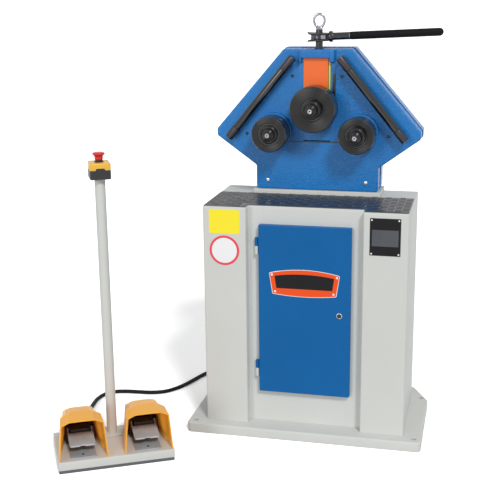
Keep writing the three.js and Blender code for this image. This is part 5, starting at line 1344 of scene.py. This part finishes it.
PAWL = ((0, 0.0), (0.006, 0.0), (0.006, 0.012, 0.0008), (0, 0.012))
PAWL_BUTTON_DEPTH = 0.0415
PAWL_BUTTON = ((0, 0.0), (0.0052, 0.0), (0.0052, 0.0035, 0.0012), (0, 0.0040))
LEVER_TILT = 0.042
LEVER_ROD = ((0, 0.0345), (0.0180, 0.0345, 0.0012), (0.0180, 0.0462, 0.0012), (0.0135, 0.0462, 0.001),
             (0.0124, 0.051, 0.002), (0.0124, 0.1015, 0.0006), (0.009, 0.1015), (0.009, 0.386), (0, 0.386))
FERRULE = ((0.0093, 0.1017), (0.0128, 0.1017, 0.0006), (0.0128, 0.1050, 0.0006), (0.0093, 0.1050))
GRIP_RADIUS = 0.0131
GRIP_END = 0.411
GRIP_SLEEVE = ((0, 0.1053), (0.0118, 0.1053, 0.0008), (0.0128, 0.1075, 0.001), (GRIP_RADIUS, 0.118, 0.004))
GRIP_TIP_STEPS = 12


def drawn_in(points, centre, factor):
    """The outline drawn in towards its centre by the factor."""
    return np.asarray(centre) + (points - centre) * factor


def make_screw():
    """Feed screw with its foot and neck, the wiper at the bridge, and the saw-toothed ratchet wheel."""
    low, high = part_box("lead_screw")
    x, y = (low.x + high.x) / 2, (low.y + high.y) / 2
    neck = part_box("ratchet_body")[1].z + GAP
    profile = soft_profile([*placed(SCREW_FOOT, low.z), (SCREW_RADIUS, neck, THIN_EDGE),
                            (SCREW_NECK_RADIUS, neck, THIN_EDGE), (SCREW_NECK_RADIUS, high.z, RIM_ROUND),
                            (0, high.z)])
    piece("feed_screw", [lathe(profile, (x, y, 0), (0, 0, 1), MIDDLE_STEPS)], "screw",
          "bar_black", ["lead_screw"])
    wiper = soft_profile(placed(WIPER, head_high.z))
    piece("screw_wiper", [lathe(wiper, (x, y, 0), (0, 0, 1), NARROW_STEPS, ring=True)], "frame",
          "black_plastic")

    low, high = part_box("ratchet_wheel")
    pitch = 2 * math.pi / WHEEL_TEETH
    tooth = np.arange(WHEEL_TEETH) * 2 * math.pi / WHEEL_TEETH
    angle = np.stack([tooth, tooth + pitch], 1).ravel()
    radius = np.tile([WHEEL_ROOT, WHEEL_TIP], WHEEL_TEETH)
    teeth = np.stack([x + radius * np.cos(angle), y + radius * np.sin(angle)], 1)
    bore = round_hole((x, y), WHEEL_BORE, low.z, high.z, THIN_EDGE)
    wheel = panel(lambda inset: drawn_in(teeth, (x, y), 1 - inset / WHEEL_TIP),
                  edge_rows(low.z, high.z, FINE_EDGE, FINE_EDGE), [bore], "z")
    piece("click_wheel", [wheel], "screw", "ground_bright", ["ratchet_wheel"])


def make_lever():
    """Ratchet body of two flared plates, web and pawl, and the lever's rod, ferrule and grip."""
    low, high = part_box("ratchet_body")
    screw_y = sum(v.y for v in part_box("lead_screw")) / 2
    middle = (0.0, screw_y)
    centre = np.array((0.0, screw_y, (low.z + high.z) / 2))
    disc = circle(middle, RATCHET_RADIUS, RATCHET_STEPS)
    disc[:, 0] = np.minimum(disc[:, 0], WEB_END)
    shapes = []
    for z0, z1, slope in ((low.z, low.z + RATCHET_PLATE, -FLARE_SLOPE),
                          (high.z - RATCHET_PLATE, high.z, FLARE_SLOPE)):
        hole = round_hole(middle, RATCHET_BORE, z0, z1, THIN_EDGE)
        plate = panel(lambda inset: drawn_in(disc, middle, 1 - inset / RATCHET_RADIUS),
                      edge_rows(z0, z1, RATCHET_EDGE, RATCHET_EDGE), [hole], "z")
        flare = lambda p, slope=slope: p + np.outer(np.maximum(FLARE_START - p[:, 0], 0), (0, 0, slope))
        shapes.append(moved(plate, flare))
    shapes.append(block((WEB_START, screw_y - WEB_HALF, low.z + WEB_MARGIN),
                        (WEB_END, screw_y + WEB_HALF, high.z - WEB_MARGIN), SOFT_EDGE))
    near, far = PAWL_HOUSING_DEPTHS
    shapes.append(block((-PAWL_HOUSING_HALF, screw_y - near, low.z + PAWL_HOUSING_MARGIN),
                        (PAWL_HOUSING_HALF, screw_y - far, high.z - PAWL_HOUSING_MARGIN),
                        PAWL_HOUSING_EDGE))
    shapes.append(lathe(soft_profile(PAWL), (0, screw_y - PAWL_DEPTH, centre[2]), (0, -1, 0), PIN_STEPS))
    piece("click_head", shapes, "lever", "plain_black", ["ratchet_body"])
    button = lathe(soft_profile(PAWL_BUTTON), (0, screw_y - PAWL_BUTTON_DEPTH, centre[2]), (0, -1, 0),
                   PIN_STEPS)
    piece("pawl_button", [button], "lever", "button_steel")

    axis = np.array((math.cos(LEVER_TILT), 0, math.sin(LEVER_TILT)))
    piece("lever_rod", [lathe(soft_profile(LEVER_ROD), centre, axis, MIDDLE_STEPS)], "lever",
          "bar_black", ["lever_bar"])
    piece("grip_ferrule", [lathe(soft_profile(FERRULE), centre, axis, MIDDLE_STEPS, ring=True)], "lever",
          "button_steel")
    angle = np.linspace(0, math.pi / 2, GRIP_TIP_STEPS)
    tip = np.stack([GRIP_RADIUS * np.cos(angle), GRIP_END - GRIP_RADIUS + GRIP_RADIUS * np.sin(angle)], 1)
    tip[-1, 0] = 0
    sleeve = soft_profile([*GRIP_SLEEVE, tuple(tip[0])])[:-1]
    piece("grip", [lathe(np.concatenate([sleeve, tip]), centre, axis, MIDDLE_STEPS)], "lever",
          "grip_rubber", ["lever_grip"])


EYE_CENTRE_RADIUS = 0.018
EYE_THICKNESS = 0.008
EYE_SECTION_STEPS = 24
EYE_STRETCH = 1.19
EYE_NECK = 0.011
EYE_NECK_SPREAD = 0.0035
EYE_NECK_ROWS = 13
EYE_NECK_END_SHARE = 0.80
EYE_THINNING = (1.6, 0.8)


def make_eye():
    """Ring of round section, its circle drawn out upright by the stretch, on a neck that grows into it.

    The neck's width grows with the square of the share of its height, and its depth falls to the ring's
    thickness by a power of that share times a rate.
    """
    low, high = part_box("lifting_eye")
    y = (low.y + high.y) / 2
    thick = EYE_THICKNESS / 2
    middle = high.z - (EYE_CENTRE_RADIUS + thick) * EYE_STRETCH
    section = circle((EYE_CENTRE_RADIUS, 0.0), thick, EYE_SECTION_STEPS)
    ring = lathe(section, (0, y, 0), (0, 1, 0), ROUND_STEPS, ring=True)
    ring = moved(ring, lambda p: p * np.array((1, 1, EYE_STRETCH)) + np.array((0, 0, middle)))
    share = np.linspace(0, 1, EYE_NECK_ROWS)[:, None]
    reach = EYE_CENTRE_RADIUS * EYE_STRETCH
    level = low.z + (middle - reach * EYE_NECK_END_SHARE - low.z) * share
    rate, power = EYE_THINNING
    half_x = EYE_NECK + EYE_NECK_SPREAD * share**2
    half_y = EYE_NECK - (EYE_NECK - thick) * np.minimum(share * rate, 1) ** power
    turn = np.linspace(0, 2 * math.pi, NARROW_STEPS, endpoint=False)
    sections = np.stack([half_x * np.cos(turn), y + half_y * np.sin(turn),
                         np.broadcast_to(level, (EYE_NECK_ROWS, NARROW_STEPS))], 2)
    piece("eye", [ring, skin(sections)], "screw", "eye_steel", ["lifting_eye"])


# Pedal station, drawn about its own middle. Each guard row holds one value for each of its depths
PEDAL_HALF_SPACING = 0.105
GUARD_DEPTHS = (-0.112, -0.052, -0.032, 0.018, 0.084)
GUARD_HALVES = (0.0795, 0.0767, 0.0684, 0.0600, 0.0572)
GUARD_HEIGHTS = (0.134, 0.1367, 0.1353, 0.1273, 0.0938)
GUARD_ROOF_SHARES = (0.52, 0.50, 0.42, 0.42, 0.46)
GUARD_SHOULDER_SHARES = (0.865, 0.85, 0.70, 0.74, 0.86)
GUARD_RISE_SHARES = (0.91, 0.92, 0.955, 0.965, 0.93)
GUARD_SMOOTHING = (0.2, 0.6)
GUARD_RADII = (LEAST_RADIUS, LEAST_RADIUS, 0.0055, 0.006, 0.040, 0.006, 0.0055)
GUARD_CROWN = 1.004
GUARD_WALL = 0.004
GUARD_BACK_LAP = 0.0005
GUARD_STEPS = 60


def pedal_shift(x):
    """Places a shape that was drawn about a pedal's middle, then the whole station."""
    return lambda points: station(points + np.array((x, 0.0, 0.0)))


def guard_arch(half, height, roof_share, shoulder_share, rise_share, inset):
    """Closed outline of the hood: foot, shoulder, roof edge and crown, each corner rounded."""
    shoulder, roof = half * shoulder_share, half * roof_share
    rise = height * rise_share
    corners = [(-half, 0), (half, 0), (shoulder, rise), (roof, height), (0, height * GUARD_CROWN),
               (-roof, height), (-shoulder, rise)]
    return np.roll(rounded(corners, GUARD_RADII, inset), -(CORNER_STEPS + 1), 0)


def make_guards():
    """Hood over each pedal: an arch whose measures change along its depth, and a plate at its back.

    The measures between two given depths lie on a straight line, then each takes a share of its two
    neighbours. The wall's inner outline is flattened to the floor at its feet.
    """
    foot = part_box("station_tray")[1].z + GAP
    front, back = GUARD_DEPTHS[0], GUARD_DEPTHS[-1]
    depth = front + (back - GUARD_WALL - front) * np.linspace(0, 1, GUARD_STEPS)
    rows = (GUARD_HALVES, GUARD_HEIGHTS, GUARD_ROOF_SHARES, GUARD_SHOULDER_SHARES, GUARD_RISE_SHARES)
    measures = np.stack([np.interp(depth, GUARD_DEPTHS, row) for row in rows], 1)
    near, own = GUARD_SMOOTHING
    measures[1:-1] = near * measures[:-2] + own * measures[1:-1] + near * measures[2:]
    upright = lambda loop, d: np.column_stack([loop[:, 0], np.full(len(loop), d), loop[:, 1] + foot])
    sections = []
    for d, measure in zip(depth, measures):
        inner = guard_arch(*measure, GUARD_WALL)
        inner[:, 1] = np.where(inner[:, 1] < GUARD_WALL * 1.01, 0.0, inner[:, 1])
        sections.append(upright(np.concatenate([guard_arch(*measure, 0.0), inner[::-1]]), d))
    backs = [upright(guard_arch(*measures[-1], inset), d)
             for d, inset in ((depth[-1] - GUARD_BACK_LAP, 0.0), (back - SOFT_EDGE, 0.0), (back, SOFT_EDGE))]
    for side, sign in (("left", -1), ("right", 1)):
        shift = pedal_shift(sign * PEDAL_HALF_SPACING)
        piece(f"{side}_guard", [moved(skin(sections), shift), moved(skin(backs), shift)], "frame",
              "guard_orange", [f"guard_{side}"])


PIVOT = (0.018, 0.048)
TREAD_FRONT = -0.082
TREAD_FRONT_RISE = 0.036
TREAD_BACK = -0.002
TREAD_HALF = 0.0415
TREAD_SHEET = 0.004
TREAD_LIP = 0.005
TREAD_LIP_ENDS = (0.0035, 0.0045)
TREAD_RADII = (0.0012, 0.0006, 0.0006, 0.0008, 0.0008, 0.0022)
TREAD_CORNER = 0.006
TREAD_STEPS = 33
NOTCH_RADIUS = 0.009
NOTCH_SPAN = 0.0095
NOTCH_SHARE = 0.62
NOTCH_STEPS = 21
RECEDE_START = 0.55
RECEDE_SPREAD = 0.45
ARM_WIDTH = 0.005
ARM_LAP = 0.008
ARM_DEPTH = 0.008
ARM_DROP = 0.0042
ARM_RISE = 0.004
ARM_EYE = (0.008, 0.0008)
PIVOT_PIN_RADIUS = 0.005
PIVOT_PIN_SPAN = (0.0362, 0.0457)
PLATE_HALF = 0.042
PLATE_FRONT = -0.104
PLATE_REAR = 0.062
PLATE_CORNER = 0.009
PEDAL_PLATE = 0.005
PEDAL_PLATE_EDGE = 0.0012
PLATE_SCREW_PLACE = -0.083
PLATE_SCREW = (0.0045, 0.0010, 0.6)
PLATE_SCREW_SINK = 0.0002
SWITCH_HALF = 0.032
SWITCH_SPAN = (0.002, 0.056)
SWITCH_BACK = 0.040
SWITCH_HEIGHT = 0.050
SWITCH_EDGE = 0.0015
EAR_SPAN = (0.042, 0.046)
EAR_RISE = 0.016
EAR_CORNER = 0.005
EAR_BORE = 0.0053


def treadle_shapes(tray_top):
    """Tread with a lip and a notch at its front edge, and the arms, eyes and pins that carry it.

    The tread's section is the same all the way across, but its front recedes: at the two corners along
    an arc, and in the middle along a flattened arc. The part of the section near the front takes the
    whole of this, by the square root of its share past the start, and the part behind it none.
    """
    slope = (PIVOT[1] - TREAD_FRONT_RISE) / (PIVOT[0] - TREAD_FRONT)
    level = lambda n: tray_top + TREAD_FRONT_RISE + (n - TREAD_FRONT) * slope
    across = np.unique(np.concatenate([np.linspace(-TREAD_HALF, TREAD_HALF, TREAD_STEPS),
                                       np.linspace(-NOTCH_SPAN, NOTCH_SPAN, NOTCH_STEPS)]))
    reach = np.clip(np.abs(across) - (TREAD_HALF - TREAD_CORNER), 0, TREAD_CORNER)
    recede = TREAD_CORNER - np.sqrt(TREAD_CORNER**2 - reach**2)
    recede += np.sqrt(np.clip(NOTCH_RADIUS**2 - across**2, 0, None)) * NOTCH_SHARE
    front, back = level(TREAD_FRONT), level(TREAD_BACK)
    profile = [(TREAD_FRONT, front - TREAD_LIP), (TREAD_FRONT + TREAD_LIP_ENDS[0], front - TREAD_LIP),
               (TREAD_FRONT + TREAD_LIP_ENDS[1], front - TREAD_SHEET), (TREAD_BACK, back - TREAD_SHEET),
               (TREAD_BACK, back), (TREAD_FRONT, front)]
    loop = rounded(profile, TREAD_RADII)
    share = np.clip((TREAD_BACK - loop[:, 0]) / (TREAD_BACK - TREAD_FRONT), 0, 1)
    weight = np.clip((share - RECEDE_START) / RECEDE_SPREAD, 0, 1) ** 0.5 * (share > RECEDE_START)
    n = loop[None, :, 0] + recede[:, None] * weight[None, :]
    x = np.broadcast_to(across[:, None], n.shape)
    z = np.broadcast_to(loop[None, :, 1], n.shape)
    shapes = [skin(np.stack([x, n, z], 2))]
    start = TREAD_BACK - ARM_LAP
    pivot = level(PIVOT[0])
    outline = [(start, level(start) - ARM_DROP), (TREAD_BACK, back - ARM_DEPTH),
               (PIVOT[0], pivot - ARM_DEPTH), (PIVOT[0], pivot + ARM_RISE), (TREAD_BACK, back - FILM_EDGE)]
    place = (0, PIVOT[0], tray_top + PIVOT[1])
    for edge in (-1, 1):
        x0, x1 = sorted((edge * TREAD_HALF, edge * (TREAD_HALF - ARM_WIDTH)))
        shapes.append(slab(outline, x0, x1, "x", SOFT_EDGE, FINE_EDGE))
        shapes.append(lathe(rod(ARM_EYE[0], x0, x1, ARM_EYE[1]), place, (1, 0, 0), SMALL_STEPS))
        x0, x1 = sorted(edge * reach for reach in PIVOT_PIN_SPAN)
        shapes.append(lathe(rod(PIVOT_PIN_RADIUS, x0, x1), place, (1, 0, 0), PIN_STEPS))
    return shapes


def switch_shapes(tray_top, low):
    """Switch housing behind the tread, its cross wall, and an ear with a bore at each end of the pivot."""
    front, rear = SWITCH_SPAN
    inner, outer = EAR_SPAN
    high = low + SWITCH_HEIGHT
    shapes = [block((-SWITCH_HALF, front, low), (SWITCH_HALF, rear, high), SWITCH_EDGE),
              block((-outer, SWITCH_BACK, low), (outer, rear, high), SOFT_EDGE)]
    outline = rectangle(front, rear, low, tray_top + PIVOT[1] + EAR_RISE)
    for x0, x1 in ((-outer, -inner), (inner, outer)):
        hole = round_hole((PIVOT[0], tray_top + PIVOT[1]), EAR_BORE, x0, x1, THIN_EDGE)
        shapes.append(slab(outline, x0, x1, "x", EAR_CORNER, FINE_EDGE, None, [hole]))
    return shapes


def make_pedals():
    """Two pedals, each a base plate with its screw, a switch body and a treadle that turns in its ears."""
    tray_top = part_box("station_tray")[1].z
    plate_low = tray_top + GAP
    plate_top = plate_low + PEDAL_PLATE
    treadle = treadle_shapes(tray_top)
    plate = slab(rectangle(-PLATE_HALF, PLATE_HALF, PLATE_FRONT, PLATE_REAR), plate_low, plate_top, "z",
                 PLATE_CORNER, PEDAL_PLATE_EDGE, THIN_EDGE)
    screw = screw_head((0, PLATE_SCREW_PLACE, plate_top - PLATE_SCREW_SINK), (0, 0, 1), *PLATE_SCREW)
    switch = switch_shapes(tray_top, plate_top + GAP)
    for side, sign in (("left", -1), ("right", 1)):
        shift = pedal_shift(sign * PEDAL_HALF_SPACING)
        piece(f"{side}_treadle", [moved(s, shift) for s in treadle], f"pedal_{side}",
              "treadle_metal", [f"treadle_{side}"])
        piece(f"{side}_pedal_base", [moved(plate, shift)], "frame",
              "plate_metal", [f"pedal_base_{side}"])
        piece(f"{side}_pedal_screw", [moved(screw, shift)], "frame",
              "plain_black")
        piece(f"{side}_switch_body", [moved(s, shift) for s in switch], "frame",
              "black_plastic", [f"switch_body_{side}"])


TRAY_HALF = (0.1875, 0.118)
TRAY_CORNER = 0.004
TRAY_EDGE = 0.0022
PAD_MARGIN = 0.001
PAD_LOW_EDGE = 0.0005
POST_PLACE = (0.006, 0.061)
POST_RADIUS = 0.01685
POST_FOOT = (0.030, 0.005)
POST_CAP_THICKNESS = 0.006
POST_CAP_EDGE = 0.0008


def square(place, half_x, half_y):
    """Rectangle about a place, by its half widths."""
    return rectangle(place[0] - half_x, place[0] + half_x, place[1] - half_y, place[1] + half_y)


def make_station():
    """Tray on its rubber pad, and the post: a tube with a foot plate and a square plate under the box."""
    half_x, half_y = TRAY_HALF
    low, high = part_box("station_tray")
    tray = slab(rectangle(-half_x, half_x, -half_y, half_y), low.z, high.z, "z", TRAY_CORNER, TRAY_EDGE,
                SOFT_EDGE)
    piece("tray", [moved(tray, station)], "frame", "grey_paint", ["station_tray"])
    low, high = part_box("station_pad")
    pad_x, pad_y = half_x - PAD_MARGIN, half_y - PAD_MARGIN
    pad = slab(rectangle(-pad_x, pad_x, -pad_y, pad_y), low.z, high.z, "z", TRAY_CORNER, SOFT_EDGE,
               PAD_LOW_EDGE)
    piece("pad", [moved(pad, station)], "frame", "pad_rubber", ["station_pad"])

    low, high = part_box("station_post")
    adapter = high.z - POST_CAP_THICKNESS
    foot_half, foot_thickness = POST_FOOT
    tube = soft_profile([(0, low.z), (POST_RADIUS, low.z), (POST_RADIUS, adapter, FINE_EDGE), (0, adapter)])
    foot = slab(square(POST_PLACE, foot_half, foot_half), low.z, low.z + foot_thickness, "z", TRAY_CORNER,
                SOFT_EDGE)
    top = slab(square(POST_PLACE, POST_RADIUS, POST_RADIUS), adapter, high.z, "z", TRAY_CORNER,
               POST_CAP_EDGE)
    shapes = [lathe(tube, (*POST_PLACE, 0), (0, 0, 1), MIDDLE_STEPS), foot, top]
    piece("post", [moved(s, station) for s in shapes], "frame", "grey_paint",
          ["station_post"])


# Stop box. The head's profile is rows of (radius, share of the height, round)
STOP_HALF = (0.033, 0.036)
STOP_CORNER = 0.006
STOP_BASE_EDGES = (0.0008, 0.003)
STOP_COVER_EDGES = (0.0038, 0.0008)
STOP_BORE = 0.0085
COLLAR_BORE = 0.0123
COLLAR_RADIUS = 0.015
STOP_ROOM = 0.006
TAB_HALVES = (0.016, 0.012)
TAB_DROP = 0.007
TAB_DEPTHS = (0.003, 0.0005)
TAB_CORNER = 0.0012
TAB_EDGES = (0.0005, FILM_EDGE)
PLUNGER_RADIUS = 0.0077
PLUNGER_HEAD = (0.0117, 0.0055)
STOP_HEAD = ((0, 0), (0.0126, 0, 0.0006), (0.0131, 0.12, 0.001), (0.0134, 0.40, 0.002),
             (0.0165, 0.58, 0.002), (0.0198, 0.70, 0.0008), (0.0200, 0.78, 0.0008),
             (0.0172, 0.92, 0.002), (0.010, 0.985, 0.003), (0, 1.0))


def make_stop_box():
    """Box base with a pocket and a tab, its bored cover, the collar, the plunger and the mushroom head."""
    px, py = POST_PLACE
    outline = square(POST_PLACE, *STOP_HALF)
    low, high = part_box("estop_base")
    cover_low, cover_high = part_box("estop_cover")
    seam = cover_low.z - GAP
    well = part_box("estop_plunger")[0].z - STOP_ROOM
    pocket = round_hole(POST_PLACE, STOP_BORE, well, seam, THIN_EDGE, False)
    base = slab(outline, low.z, seam, "z", STOP_CORNER, *STOP_BASE_EDGES, [pocket])
    wide, narrow = TAB_HALVES
    tab_outline = [(px - wide, seam - TAB_DROP), (px + wide, seam - TAB_DROP), (px + wide, seam),
                   (px + narrow, high.z), (px - narrow, high.z), (px - wide, seam)]
    face = -(py - STOP_HALF[1])
    tab = slab(tab_outline, face - TAB_DEPTHS[0], face + TAB_DEPTHS[1], "y", TAB_CORNER, *TAB_EDGES)
    piece("stop_base", [moved(s, station) for s in (base, tab)], "frame",
          "black_plastic", ["estop_base"])
    bore = round_hole(POST_PLACE, COLLAR_BORE, cover_low.z, cover_high.z, THIN_EDGE)
    cover = slab(outline, cover_low.z, cover_high.z, "z", STOP_CORNER, *STOP_COVER_EDGES, [bore])
    piece("stop_cover", [moved(cover, station)], "frame", "cover_yellow",
          ["estop_cover"])

    spot = station(np.array([[px, py, 0.0]]))[0]
    low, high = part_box("estop_collar")
    ring = soft_profile([(COLLAR_BORE, low.z), (COLLAR_RADIUS, low.z), (COLLAR_RADIUS, high.z, FINE_EDGE),
                         (COLLAR_BORE, high.z)])
    piece("stop_collar", [lathe(ring, spot, (0, 0, 1), NARROW_STEPS, ring=True)], "frame",
          "black_plastic", ["estop_collar"])
    low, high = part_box("estop_plunger")
    head_radius, head_height = PLUNGER_HEAD
    neck = high.z - head_height
    plunger = soft_profile([(0, low.z), (PLUNGER_RADIUS, low.z), (PLUNGER_RADIUS, neck),
                            (head_radius, neck), (head_radius, high.z), (0, high.z)])
    piece("stop_plunger", [lathe(plunger, spot, (0, 0, 1), NARROW_STEPS)], "stop_plunger",
          "black_plastic", ["estop_plunger"])
    low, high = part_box("estop_button")
    rise = high.z - low.z
    corners = [(radius, low.z + share * rise, *rest) for radius, share, *rest in STOP_HEAD]
    piece("stop_head", [lathe(soft_profile(corners), spot, (0, 0, 1), SHAFT_STEPS)], "stop_button",
          "stop_red", ["estop_button"])


# Glands: each starts in the wall, its nut sits on the wall's face, and its dome narrows to the cable
GLAND_THREAD_RADIUS = 0.0098
GLAND_NUT_HALF = 0.0134
GLAND_NUT_SHARE = 0.94
GLAND_NUT_HEIGHT = 0.007
GLAND_DOME_RADIUS = 0.0115
GLAND_MOUTH_RADIUS = 0.0076
GLAND_TAPER = 0.006
PEDAL_GLAND_RISE = 0.024
PEDAL_GLAND_REACH = (0.0563, 0.072, 0.098)


def gland_shapes(place, direction, start, seat, end):
    """Thread, six-sided nut and domed cap of a cable gland along its axis."""
    along = np.array(direction, float)
    across = unit(np.cross(along, (0, 0, 1.0))[None])[0]
    frame_rows = np.stack([across, np.cross(across, along), along])
    aim = lambda points: np.asarray(place) + points @ frame_rows
    thread = soft_profile([(0, start), (GLAND_THREAD_RADIUS, start, FINE_EDGE), (GLAND_THREAD_RADIUS, seat),
                           (0, seat)])
    reach = GLAND_NUT_HALF / math.cos(math.pi / 6)
    hexagon = [(reach * math.cos(a) * GLAND_NUT_SHARE, reach * math.sin(a) * GLAND_NUT_SHARE)
               for a in np.arange(6) * math.pi / 3]
    shoulder = seat + GLAND_NUT_HEIGHT
    nut = slab(hexagon, seat, shoulder, "z", SOFT_EDGE, 0.0008)
    dome = soft_profile([(0, shoulder), (GLAND_DOME_RADIUS, shoulder, 0.0005),
                         (GLAND_DOME_RADIUS, end - GLAND_TAPER, 0.004), (GLAND_MOUTH_RADIUS, end, 0.0008),
                         (0, end)])
    return [moved(s, aim) for s in (lathe(thread, steps=SMALL_STEPS), nut, lathe(dome, steps=NARROW_STEPS))]


def make_glands():
    """Two glands at the cabinet's back and the one that the cable leaves the left pedal by."""
    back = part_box("cabinet_shell")[1].y
    for node in ("cabinet_gland", "mains_gland"):
        low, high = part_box(node)
        place = ((low.x + high.x) / 2, 0, (low.z + high.z) / 2)
        shapes = gland_shapes(place, (0, 1, 0), low.y, back + GAP, high.y)
        piece(f"{node}_nut", shapes, "frame", "black_plastic", [node])
    tray_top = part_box("station_tray")[1].z
    place = station(np.array([[-PEDAL_HALF_SPACING, 0.0, tray_top + PEDAL_GLAND_RISE]]))[0]
    direction = (-math.sin(STATION_ANGLE), math.cos(STATION_ANGLE), 0)
    shapes = gland_shapes(place, direction, *PEDAL_GLAND_REACH)
    piece("pedal_gland_nut", shapes, "frame", "black_plastic", ["pedal_gland"])


# Badge, rating plate and plain discs, with nothing written on them. A plate is (x0, x1, z0, z1)
FILM = 0.0004
PLATE_LIFT = 0.0010
PLATE_RIM = 0.0003
BADGE_LIFT = 0.0012
BADGE_MIDDLE = 0.0005
BADGE_SHAPE = (0.106, 0.117, 0.5045, 0.007, 0.5740, 0.0145)
BADGE_FIELD = (0.094, 0.100, 0.5235, 0.0, 0.5655, 0.0085)
BADGE_RIM = 0.0018
BADGE_RIVETS = ((0.098, 0.5115), (0.109, 0.5690))
BADGE_RIVET = (0.0038, 0.0012, 0.3)
BADGE_STEPS = 17
RATING_PLATE = (0.215, 0.314, 0.655, 0.778)
RATING_FIELD = (0.222, 0.307, 0.686, 0.740)
RATING_RIVETS = ((0.221, 0.661), (0.221, 0.772), (0.308, 0.661), (0.308, 0.772))
RATING_RIVET = (0.0030, 0.0012, 0.3)
YELLOW_LABEL = (-0.318, -0.214, 0.704, 0.786)
YELLOW_LABEL_CORNER = 0.006
LABEL_CENTRE = (-0.267, 0.647)
LABEL_DISCS = (("label_rim", 0.051, 0.0, "stop_red", "label_red"),
               ("label_disc", 0.043, FILM, "cabinet_paint", "label_white"))


def face_plate(spans, face, thickness, corner=0.002):
    """Flat plate on an upright face, its rim at most a third of its thickness."""
    return slab(rectangle(*spans), -face, -face + thickness, "y", corner, min(PLATE_RIM, thickness / 3))


def arched_plate(shape, margin, face, thickness, corner):
    """Plate whose lower and upper sides are parabolas over straight feet, grown by the margin."""
    half_low, half_high, low, sag, high, rise = shape
    share = np.linspace(-1, 1, BADGE_STEPS)
    under = np.column_stack([share * (half_low + margin), low - margin - sag * (1 - share**2)])
    over = np.column_stack([-share * (half_high + margin), high + margin + rise * (1 - share**2)])
    outline = np.concatenate([under, over]) + (BADGE_MIDDLE, 0.0)
    return slab(outline, -face, -face + thickness, "y", corner, min(PLATE_RIM, thickness / 3))


def make_plates():
    """Door badge with its rivets, and the rating plate and labels on the columns, all of them blank."""
    door_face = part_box("door_panel")[0].y
    badge_face = door_face - BADGE_LIFT
    piece("badge_edge", [arched_plate(BADGE_SHAPE, BADGE_RIM, door_face, 0.0008, 0.005)], "door",
          "bright_steel")
    piece("badge", [arched_plate(BADGE_SHAPE, 0.0, door_face, BADGE_LIFT, 0.004)], "door",
          "badge_orange")
    piece("badge_field", [arched_plate(BADGE_FIELD, 0.0, badge_face, 0.0006, 0.002)], "door",
          "plate_black")
    rivets = [screw_head((BADGE_MIDDLE + sign * x, badge_face, z), (0, -1, 0), *BADGE_RIVET)
              for x, z in BADGE_RIVETS for sign in (-1, 1)]
    piece("badge_rivets", rivets, "door", "bright_steel")

    column_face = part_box("cabinet_shell")[0].y
    plate_face = column_face - PLATE_LIFT
    piece("rating_plate", [face_plate(RATING_PLATE, column_face, PLATE_LIFT)], "frame",
          "plate_black")
    piece("rating_field", [face_plate(RATING_FIELD, plate_face, FILM, 0.001)], "frame",
          "field_grey")
    rivets = [screw_head((x, plate_face, z), (0, -1, 0), *RATING_RIVET) for x, z in RATING_RIVETS]
    piece("rating_rivets", rivets, "frame", "bright_steel")
    piece("yellow_label", [face_plate(YELLOW_LABEL, column_face, FILM, YELLOW_LABEL_CORNER)], "frame",
          "label_yellow")
    for name, radius, lift, slot, finish in LABEL_DISCS:
        base = lift - column_face
        disc = panel(lambda inset, r=radius: circle(LABEL_CENTRE, r - inset, MIDDLE_STEPS),
                     [(FILM_EDGE, base + FILM), (0, base + PLATE_RIM), (0, base)], (), "y")
        piece(name, [disc], "frame", finish)


# Pieces inside, copied from their solids with their edges broken
MERGE_DISTANCE = 0.00001
FLAT_ANGLE = math.radians(1)
BEVEL_ANGLE = math.radians(40)
BEVEL_SEGMENTS = 2


def softened(node, body, finish):
    """Copy of a node's solid with merged corners, flat faces joined and edges bevelled."""
    mesh = bpy.data.meshes.new(f"{node}_soft")
    work = bmesh.new()
    work.from_mesh(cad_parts[node].data)
    bmesh.ops.remove_doubles(work, verts=work.verts, dist=MERGE_DISTANCE)
    bmesh.ops.dissolve_limit(work, angle_limit=FLAT_ANGLE, verts=work.verts, edges=work.edges)
    work.to_mesh(mesh)
    work.free()
    mesh.polygons.foreach_set("use_smooth", np.ones(len(mesh.polygons), bool))
    mesh.set_sharp_from_angle(angle=SHARP_ANGLE)
    mesh.materials.clear()
    mesh.materials.append(FINISHES[finish])
    made = bpy.data.objects.new(f"{node}_soft", mesh)
    bpy.context.scene.collection.objects.link(made)
    bevel = made.modifiers.new("edges", "BEVEL")
    bevel.width = SOFT_EDGE
    bevel.segments = BEVEL_SEGMENTS
    bevel.limit_method = "ANGLE"
    bevel.angle_limit = BEVEL_ANGLE
    bevel.harden_normals = True
    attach(made, body)
    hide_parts(node)


SOFTENED = (
    ("carriage", "slide_carriage", "blue_paint", "blue_paint_painted_lighter"),
    ("gib_left", "frame", "blue_paint", "blue_paint_painted_lighter"),
    ("gib_right", "frame", "blue_paint", "blue_paint_painted_lighter"),
    ("motor", "frame", "motor_paint", "motor_paint"),
    ("gearbox", "frame", "cast_iron", "cast_iron"),
    ("control_box", "frame", "cabinet_paint", "grey_paint"),
    ("left_gear", "left_roll_set", "cast_iron", "cast_iron"),
    ("right_gear", "right_roll_set", "cast_iron", "cast_iron"),
    ("drive_gear", "drive", "cast_iron", "cast_iron"),
    ("motor_sprocket", "motor_shaft", "cast_iron", "cast_iron"),
    ("drive_chain", "frame", "cast_iron", "cast_iron"),
)

bpy.context.scene.view_settings.view_transform = "Standard"
make_camera()
make_light()
make_floor()
make_cable()
make_head()
make_mat()
make_base()
make_cabinet()
make_door()
make_bridge()
make_head_screws()
for side, nodes in ROLLS.items():
    make_roll(side, *nodes)
make_caps()
make_guide_bars()
make_screw()
make_lever()
make_eye()
make_guards()
make_pedals()
make_station()
make_stop_box()
make_glands()
make_plates()
for node, body, slot, finish in SOFTENED:
    softened(node, body, finish)
